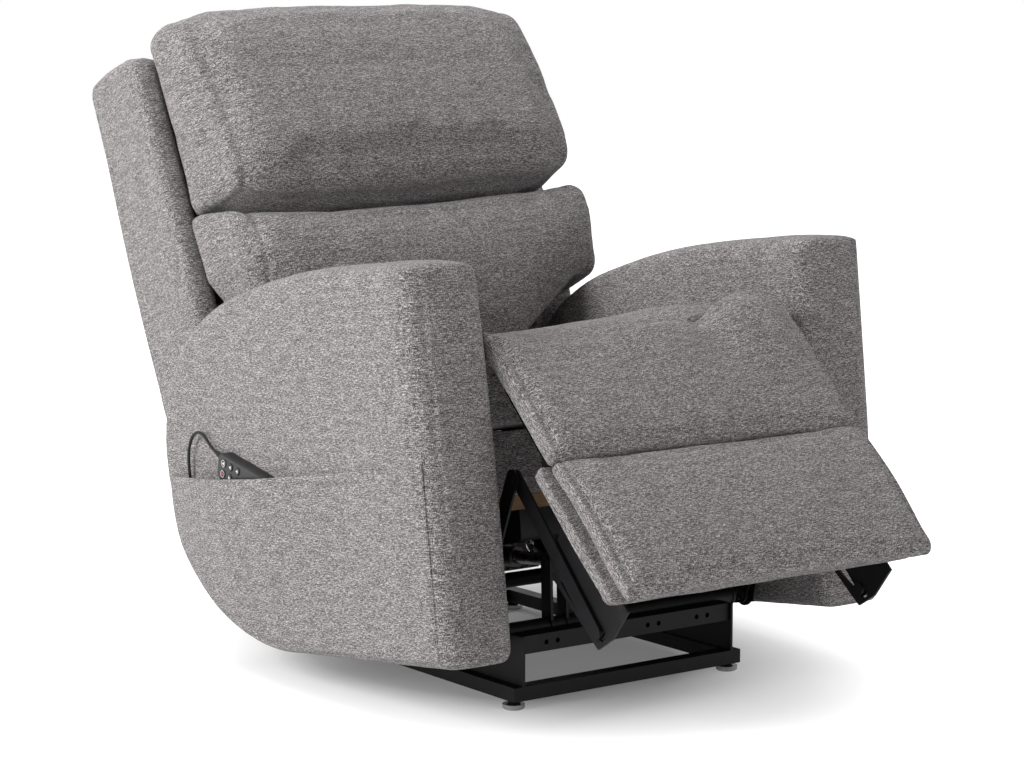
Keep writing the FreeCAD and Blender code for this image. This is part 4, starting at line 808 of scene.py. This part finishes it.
def shape_arm(obj):
    """An arm: a crowned boxing strip between soft seams, a rounded front edge, full faces."""
    p = local(obj, CHAIR)
    side_x, y, z = np.abs(p[:, 0]), p[:, 1], p[:, 2]
    outer = arm_outer(z)
    middle, half = (ARM_INNER + outer) / 2, (outer - ARM_INNER) / 2
    turn = np.array(CHAIR.inverted().to_3x3())
    strip = 1 - np.clip(np.abs(normals_of(obj) @ turn.T)[:, 0] / 0.7, 0, 1)
    crown = np.clip(1 - ((side_x - middle) / half) ** 2, 0, 1) * strip
    high = rise(z, 0.40, 0.12) * fall(y, 0.60, 0.08)
    seam = bell(side_x - (outer - 0.0050), 0.0035) + bell(side_x - 0.3100, 0.0035)
    full = 0.005 * bell(y - 0.30, 0.30) * bell(z - 0.36, 0.24) * (1 - strip)
    front_seam = bell(y - arm_front(z) - 0.030, 0.0035) * (1 - strip) * (side_x > middle)
    amount = 0.0015 * crown + 0.0045 * crown * high - 0.0012 * seam * strip + full
    amount -= 0.0010 * front_seam
    pushed(obj, amount + 0.0018 * wrinkles(p, 0.25, 17) * (side_x > 0.315))
    p = local(obj, CHAIR)
    side_x, y, z = np.abs(p[:, 0]), p[:, 1], p[:, 2]
    in_x = np.clip(ARM_ROUND - (arm_outer(z) - side_x), 0, None)
    in_y = np.clip(ARM_ROUND - (y - arm_front(z)), 0, None)
    reach = np.maximum(np.hypot(in_x, in_y), 1e-6)
    back = np.clip(1 - ARM_ROUND / reach, 0, 1) * (in_x > 0) * (in_y > 0)
    trim = np.interp(y, ARM_TOP_TRIM[:, 0], ARM_TOP_TRIM[:, 1]) * rise(z, 0.38, 0.12)
    lean = 0.004 * rise(z, 0, ARM_TALL) ** 1.5 * fall(y, 0.15, 0.15)
    wide = 0.008 * (p[:, 0] > 0) * rise(side_x, middle, half) * rise(z, 0, 0.3)
    inside = np.clip(1 - (side_x - ARM_INNER) / 0.06, 0, 1)
    narrow = 0.007 * rise(z, 0, ARM_TALL) * inside * fall(y, 0.3, 0.2)
    across = np.sign(p[:, 0]) * (narrow - in_x * back) + wide
    moved(obj, CHAIR, np.stack([across, in_y * back + lean, trim], 1))


arm_left = panel("arm_left_cover", "arm_left", "chair", CHAIR, 5, shape_arm)
arm_right = panel("arm_right_cover", "arm_right", "chair", CHAIR, 5, shape_arm)
print("arms", [len(o.data.vertices) for o in (arm_left, arm_right)], "points")

# %% [markdown]
# ## Back shell
# The shell is the upholstered tray that holds the back cushions. Its border stands round them
# and leans to them, and its side panel is sewn in between two seams. The seams could be
# modelled as tubes, but here the cloth is only drawn in along them, which is what a flat seam
# does.

# %% Back shell
def shape_shell(obj):
    """The back's shell: its border leans to the cushions, with soft seams along its sides."""
    p = local(obj, BACK)
    side_x, y, z = np.abs(p[:, 0]), p[:, 1], p[:, 2]
    border = rise(side_x, 0.335, 0.02) * fall(y, 0.075, 0.06)
    border *= rise(z, 0.30, 0.05)
    corner = bell(z - 0.81, 0.08) * rise(side_x, 0.30, 0.06) * np.clip(y / 0.12, 0.3, 1)
    across = np.sign(p[:, 0]) * (0.002 * border + 0.003 * (side_x > 0.37))
    moved(obj, BACK, np.stack([across, -0.012 * border + 0.006 * corner, 0.008 * corner], 1))
    front_seam = bell(y - 0.046, 0.0035)
    rear_seam = bell(y - 0.178 + 0.02 * (z < 0.3), 0.0035)
    seam = (front_seam + rear_seam) * (side_x > 0.36)
    pushed(obj, -0.0024 * seam + 0.0022 * wrinkles(p, 0.25, 19))


shell = panel("back_shell_cover", "back_shell", "back", BACK, 4, shape_shell)
print("shell", len(shell.data.vertices), "points")

# %% [markdown]
# ## Pocket
# The pocket is one cloth sewn to the arm along three sides, with a folded hem along its open
# top. A cloth simulation could hang it, but a stretched pocket barely moves. So its surface is
# drawn as a grid, from the front seam to the rear and from the bottom seam to the hem. It
# stands off where the handset goes in, and has thickness.

# %% Pocket
POCKET = np.array([(-2, 16, 309, 0.5), (60, 14, 300, 2), (230, 14, 291, 6), (372, 14, 285, 24),
                   (400, 15, 283, 30), (545, 34, 280, 30), (640, 90, 281, 20), (700, 158, 282, 9),
                   (722, 196, 283, 3)]) / 1000.0
HEM = 0.015
CLOTH_THICK = 0.0032


def eased(y, column, reach):
    """A pocket value along the arm, its corners rounded off."""
    steps = np.linspace(-reach, reach, 9)
    ends = POCKET[0, 0], POCKET[-1, 0]
    return np.mean([np.interp(np.clip(y + d, *ends), POCKET[:, 0], POCKET[:, column])
                    for d in steps], axis=0)


def grid_faces(along, up):
    """Faces of an outer and an inner grid of points, joined round the rim."""
    n = along * up
    faces = []
    for i in range(along - 1):
        for j in range(up - 1):
            a, b, c, d = i * up + j, (i + 1) * up + j, (i + 1) * up + j + 1, i * up + j + 1
            faces += [(a, d, c, b), (n + a, n + b, n + c, n + d)]
    edge = [i * up for i in range(along)] + [(along - 1) * up + j for j in range(1, up)]
    edge += [i * up + up - 1 for i in range(along - 2, -1, -1)] + list(range(up - 2, 0, -1))
    return faces + [(a, b, n + b, n + a) for a, b in zip(edge, edge[1:] + edge[:1])]


def pocket_cloth():
    """The pocket: outer and inner skins, joined round the rim."""
    along, up = 190, 74
    y = np.linspace(POCKET[0, 0], POCKET[-1, 0], along)
    t = np.linspace(0, 1, up)
    low, high, off = eased(y, 1, 0.012), eased(y, 2, 0.03), eased(y, 3, 0.03)
    yy = np.repeat(y, up)
    tt = np.tile(t, along)
    tall = np.repeat(high - low, up)
    zz = np.repeat(low, up) + tall * tt
    stand = np.repeat(off, up) * np.sin(tt * pi / 2) ** 1.1
    from_top = (1 - tt) * tall
    rim = np.minimum.reduce([(yy - y[0]), (y[-1] - yy) * 0.8, tt * tall])
    thin_front = 0.15 + 0.85 * np.clip((yy - y[0]) / 0.035, 0, 1)
    skin = CLOTH_THICK * np.clip(rim / 0.008, 0.25, 1.0) * thin_front
    hem = 0.0010 * (from_top < HEM) - 0.0012 * bell(from_top - HEM, 0.0022)
    hem -= 0.0006 * (from_top < 0.002)
    flat = np.stack([yy, zz, np.zeros_like(yy)], 1)
    soft = 0.0022 * wrinkles(flat * (1, 0.5, 1), 0.16, 23) * np.clip(rim / 0.06, 0, 1)
    sag = 0.0030 * bell(yy - 0.43, 0.05) * bell(tt - 0.8, 0.3)
    past = np.clip(ARM_ROUND - (yy - arm_front(zz)), 0, ARM_ROUND)
    rounded = ARM_ROUND - np.sqrt(ARM_ROUND ** 2 - past ** 2)
    face = arm_outer(zz) - rounded + 0.0004 + stand
    outer = face + skin + hem + soft * (stand > 0.001) + sag
    inner = face + sag * 0.8 + np.minimum(soft, 0) * (stand > 0.001)
    verts = [CHAIR @ Vector((-a, b, c)) for x in (outer, inner) for a, b, c in zip(x, yy, zz)]
    obj = made("pocket_cloth", verts, grid_faces(along, up))
    upholstered(obj, CHAIR)
    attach(obj, "chair")
    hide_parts("pocket_panel")
    return obj


pocket = pocket_cloth()
print("pocket", len(pocket.data.vertices), "points")

# %% [markdown]
# ## Apron and skirt
# Under the seat's front hangs a narrow cloth with rounded lower corners, and three cloths close
# the lower rear beside the lift arms. Both are stapled to the rails and lie flat, so they keep
# the outline of the CAD sheet and only lose its sharp rim. The CAD node holds both, so its
# front and rear are parted by where their points are.

# %% Apron and skirt
def closing_cloth(name, keep_front):
    """A cloth that closes the chair's front or rear: part of the CAD node, its rim softened."""
    obj = copied("seat_apron", name)
    is_front = local(obj, CHAIR)[:, 1] < 0.2
    mesh = bmesh.new()
    mesh.from_mesh(obj.data)
    mesh.verts.ensure_lookup_table()
    away = [v for v, at_front in zip(mesh.verts, is_front) if at_front != keep_front]
    bmesh.ops.delete(mesh, geom=away, context="VERTS")
    mesh.to_mesh(obj.data)
    mesh.free()
    smoothed(remeshed(obj, 0.0016), 2)
    upholstered(obj, CHAIR)
    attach(obj, "chair")
    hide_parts("seat_apron")
    return obj


apron = closing_cloth("seat_apron_cloth", True)
skirt = closing_cloth("rear_skirt_cloth", False)
print("apron and skirt", [len(o.data.vertices) for o in (apron, skirt)], "points")

# %% [markdown]
# ## Handset cord
# A thin rubber cord leaves the strain relief, loops over and goes down into the pocket. A chain
# of rigid bodies could let it fall by itself. As its loop shows clearly, a spline through the
# CAD's own points is closer to the photograph, and keeps both ends on their fittings.

# %% Handset cord
CORD_POINTS = [(-0.44062, 0.16695, 0.35683), (-0.44062, 0.18407, 0.36240),
               (-0.44162, 0.20821, 0.38337), (-0.44212, 0.22892, 0.38387),
               (-0.44162, 0.24695, 0.37058), (-0.44062, 0.25768, 0.34711),
               (-0.43812, 0.26124, 0.31847), (-0.43462, 0.25959, 0.28845),
               (-0.42981, 0.25486, 0.24974), (-0.42981, 0.25135, 0.22095)]
CORD_DIAMETER = 0.005


def handset_cord():
    """The thin cord, as a round NURBS tube."""
    curve = bpy.data.curves.new("cord_line", "CURVE")
    curve.dimensions = "3D"
    curve.bevel_depth = CORD_DIAMETER / 2
    curve.bevel_resolution = 6
    curve.resolution_u = 16
    spline = curve.splines.new("NURBS")
    spline.points.add(len(CORD_POINTS) - 1)
    for point, place in zip(spline.points, CORD_POINTS):
        point.co = (*place, 1.0)
    spline.order_u = 3
    spline.use_endpoint_u = True
    obj = bpy.data.objects.new("cord_of_handset", curve)
    scene.collection.objects.link(obj)
    curve.materials.append(MATERIALS["black_rubber"])
    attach(obj, "chair")
    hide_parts("handset_cord")


handset_cord()
print("cord", len(CORD_POINTS), "points")

# %% [markdown]
# ## Handset marks
# A handset carries printed signs on its keys, so that a thumb finds the right one: an arrow for
# each direction, and a ring round the pair that lifts the chair. They could be painted in the
# key's material. As thin raised prints they stay sharp, and each rides on its own key, so it
# travels with the press.

# %% Handset marks
HANDSET = CHAIR @ Matrix.Translation((-0.453, 0.535, 0.303))
HANDSET = HANDSET @ Matrix.Rotation(radians(17.0), 4, "X")
PRINT_LIFT = 0.00015


def mark(name, matrix, outline, x, body, slot, hole=None):
    """A thin print: an outline in (y, z) on a plane at x, or a band between two outlines."""
    count = len(outline)
    rims = outline + (hole or [])
    half = len(rims)
    verts = [matrix @ Vector((x + depth, y, z)) for depth in (-PRINT_LIFT, PRINT_LIFT)
             for y, z in rims]
    faces = []
    for i in range(count):
        j = (i + 1) % count
        if hole:
            faces += [(i, j, count + j, count + i),
                      (half + i, half + count + i, half + count + j, half + j),
                      (i, half + i, half + j, j),
                      (count + i, count + j, half + count + j, half + count + i)]
        else:
            faces.append((i, half + i, half + j, j))
    if not hole:
        faces += [tuple(range(count)), tuple(half + i for i in reversed(range(count)))]
    obj = made(name, verts, faces)
    obj.data.polygons.foreach_set("use_smooth", [False] * len(obj.data.polygons))
    obj.data.materials.append(PRINTS[slot])
    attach(obj, body)


def circle(y, z, radius, steps=28):
    """Points round a circle."""
    angles = [2 * pi * i / steps for i in range(steps)]
    return [(y + radius * cos(a), z + radius * sin(a)) for a in angles]


def arrow(y, z, size, up):
    """A triangle that points along the handset, up it or down it."""
    tip = size if up else -size
    return [(y + tip, z), (y - tip * 0.7, z + size * 0.85), (y - tip * 0.7, z - size * 0.85)]


KEYS = ("button_lift", "button_lower", "button_recline", "button_upright", "button_legs_up",
        "button_legs_down")
ARROW_SIZE = 0.0034
RING_OUTER, RING_INNER = 0.0057, 0.0049
for index, key in enumerate(KEYS):
    at = local(NODES[key], NODES[key].matrix_world.inverted() @ HANDSET)
    face, (mid_y, mid_z) = at[:, 0].min(), (at[:, 1:].min(0) + at[:, 1:].max(0)) / 2
    sign = "red_print" if index == 1 else "white_print"
    points_up = index % 2 == 0
    mark("sign_" + key, HANDSET, arrow(mid_y, mid_z, ARROW_SIZE, points_up), face, key, sign)
    if index < 2:
        mark("ring_" + key, HANDSET, circle(mid_y, mid_z, RING_OUTER), face, key, "white_print",
             circle(mid_y, mid_z, RING_INNER))
print("marked", len(KEYS), "keys")

# %% [markdown]
# ## Box lights
# The two boxes under the seat carry a small green light each, that shows that they have power.
# A lamp in each would be slow and would light nothing else, so a small lens with a weak glow is
# enough.

# %% Box lights
LENS_RADIUS = 0.0022
FROM_CORNER = 0.016

for box_name in ("control_box", "power_supply"):
    at = local(NODES[box_name], NODES[box_name].matrix_world.inverted() @ CHAIR)
    front_y, right_x, top_z = at[:, 1].min(), at[:, 0].min(), at[:, 2].max()
    place = Matrix.Translation((right_x + FROM_CORNER, front_y, top_z - FROM_CORNER))
    lens = CHAIR @ place @ Matrix.Rotation(pi / 2, 4, "Z")
    rim = circle(0.0, 0.0, LENS_RADIUS, 16)
    mark("light_of_" + box_name, lens, rim, 0.0, "chair", "green_light")
    print("light on", box_name, [round(float(c), 3) for c in (right_x, front_y, top_z)])

# %% [markdown]
# ## Floor
# The chair stands on a white sweep, as in a catalogue. A white background could be had by more
# light, but that would bleach the cloth. So the floor adds its own white toward the camera
# only, less of it under the chair and round its base, where the real floor lies in shade, and
# it keeps the shadow.

# %% Floor
SHADE_STEPS = [(0.33, 0.13), (0.44, 0.34), (0.54, 0.50), (0.66, 0.80), (0.80, 1.0)]
SHADE_MIDDLE = (0.0, 0.05, 0.0)
SHADE_SIZE = (0.42, 0.58, 1.0)
REAR_SHADE = (0.34, 0.44, 0.0)
REAR_FROM, REAR_TO, REAR_GLOW = 0.12, 0.40, 0.05
FLOOR_HALF = 14.0


def seen(n):
    """One for rays from the camera, mirrors and glass."""
    path = n.add("ShaderNodeLightPath")
    return n.math("MAXIMUM", path.outputs["Is Camera Ray"], n.math(
        "MAXIMUM", path.outputs["Is Glossy Ray"], path.outputs["Is Transmission Ray"]))


def sweep():
    """A wide, pale floor that keeps the chair's shadow."""
    n = Nodes("pale_floor")

    def vector(operation, a, b=None):
        """One sum of two vectors, or the length of one."""
        inputs = {0: a} if b is None else {0: a, 1: b}
        return n.add("ShaderNodeVectorMath", inputs, operation=operation).outputs

    at = n.add("ShaderNodeTexCoord").outputs["Object"]
    tint = n.ramp(n.noise(at, 0.8, 2.0), [(0.3, (0.80, 0.80, 0.80)), (0.7, (0.82, 0.82, 0.82))])
    from_middle = vector("SUBTRACT", at, SHADE_MIDDLE)[0]
    away = vector("LENGTH", vector("DIVIDE", from_middle, SHADE_SIZE)[0])[1]
    steps = [(place, (g, g, g)) for place, g in SHADE_STEPS]
    outside = n.ramp(n.math("MULTIPLY", away, 0.5), steps)
    rear_away = vector("LENGTH", vector("SUBTRACT", at, REAR_SHADE)[0])[1]
    rear = n.add("ShaderNodeMapRange", {0: rear_away, 1: REAR_FROM, 2: REAR_TO, 3: REAR_GLOW,
                                        4: 1.0}).outputs[0]
    glow = n.math("MULTIPLY", seen(n), n.math("MULTIPLY", outside, rear))
    mat = n.finish(tint, 0.9, Specular_IOR_Level=0.1, Emission_Color=(1.0, 1.0, 1.0, 1.0))
    n.tree.links.new(glow, n.bsdf.inputs["Emission Strength"])
    corners = [(-1, -1), (1, -1), (1, 1), (-1, 1)]
    obj = made("floor_sweep", [(FLOOR_HALF * x, FLOOR_HALF * y, 0) for x, y in corners],
               [(0, 1, 2, 3)])
    obj.data.materials.append(mat)


sweep()
print("floor of", 2 * FLOOR_HALF, "m")

# %% [markdown]
# ## Lamps and sky
# A large soft box at the left makes the side of the arm the lightest face, one behind lights
# the tops, and a weaker one low in front keeps the cushions readable. A picture of a studio
# could light it all at once, but three boxes are easier to move. A dim, even room fills the
# shade.

# %% Lamps and sky
LAMP_TARGET = (0, 0, 0.4)


def lamp(name, place, size, watts):
    """A square soft box aimed at the seat."""
    light = bpy.data.lights.new(name, "AREA")
    light.size = size
    light.energy = watts
    obj = bpy.data.objects.new(name, light)
    scene.collection.objects.link(obj)
    obj.location = place
    aim = Vector(place) - Vector(LAMP_TARGET)
    obj.rotation_euler = aim.to_track_quat("Z", "Y").to_euler()


def sky(strength):
    """An even white room: its light is dim, and what the camera sees of it is white."""
    world = bpy.data.worlds.new("white_room")
    world.use_nodes = True
    scene.world = world
    tree = world.node_tree
    tree.nodes.clear()
    path = tree.nodes.new("ShaderNodeLightPath")
    most, also = (tree.nodes.new("ShaderNodeMath") for _ in range(2))
    most.operation = also.operation = "MAXIMUM"
    dim, bright = (tree.nodes.new("ShaderNodeBackground") for _ in range(2))
    dim.inputs["Strength"].default_value = strength
    for light in (dim, bright):
        light.inputs["Color"].default_value = (1, 1, 1, 1)
    mix = tree.nodes.new("ShaderNodeMixShader")
    out = tree.nodes.new("ShaderNodeOutputWorld")
    for source, target in ((path.outputs["Is Camera Ray"], most.inputs[0]),
                           (path.outputs["Is Glossy Ray"], also.inputs[0]),
                           (path.outputs["Is Transmission Ray"], also.inputs[1]),
                           (also.outputs[0], most.inputs[1]), (most.outputs[0], mix.inputs[0]),
                           (dim.outputs[0], mix.inputs[1]), (bright.outputs[0], mix.inputs[2]),
                           (mix.outputs[0], out.inputs[0])):
        tree.links.new(source, target)


sky(0.36)
lamp("left_box", (-4.2, 0.3, 2.0), 2.6, 186)
lamp("front_box", (0.8, -4.2, 1.0), 2.4, 36)
lamp("top_box", (-0.2, 1.4, 3.5), 2.4, 66)

# %% [markdown]
# ## Camera
# The photograph was taken from the front right, a little above the arms, with a long lens. The
# camera's place and lens were solved from the straight edges of the base and the arms. A
# shorter lens nearer by would show the same parts, but would spread the footrest too wide.

# %% Camera
camera = bpy.data.cameras.new("camera")
camera.lens = 100.02
camera.sensor_width = 36.0
view = bpy.data.objects.new("camera", camera)
scene.collection.objects.link(view)
view.location = (-2.722458, -3.722220, 1.076499)
view.rotation_euler = (pi / 2 - 0.134839, 0.0, -0.635206)
scene.camera = view
scene.view_settings.view_transform = "Standard"
print("camera at", [round(c, 3) for c in view.location])
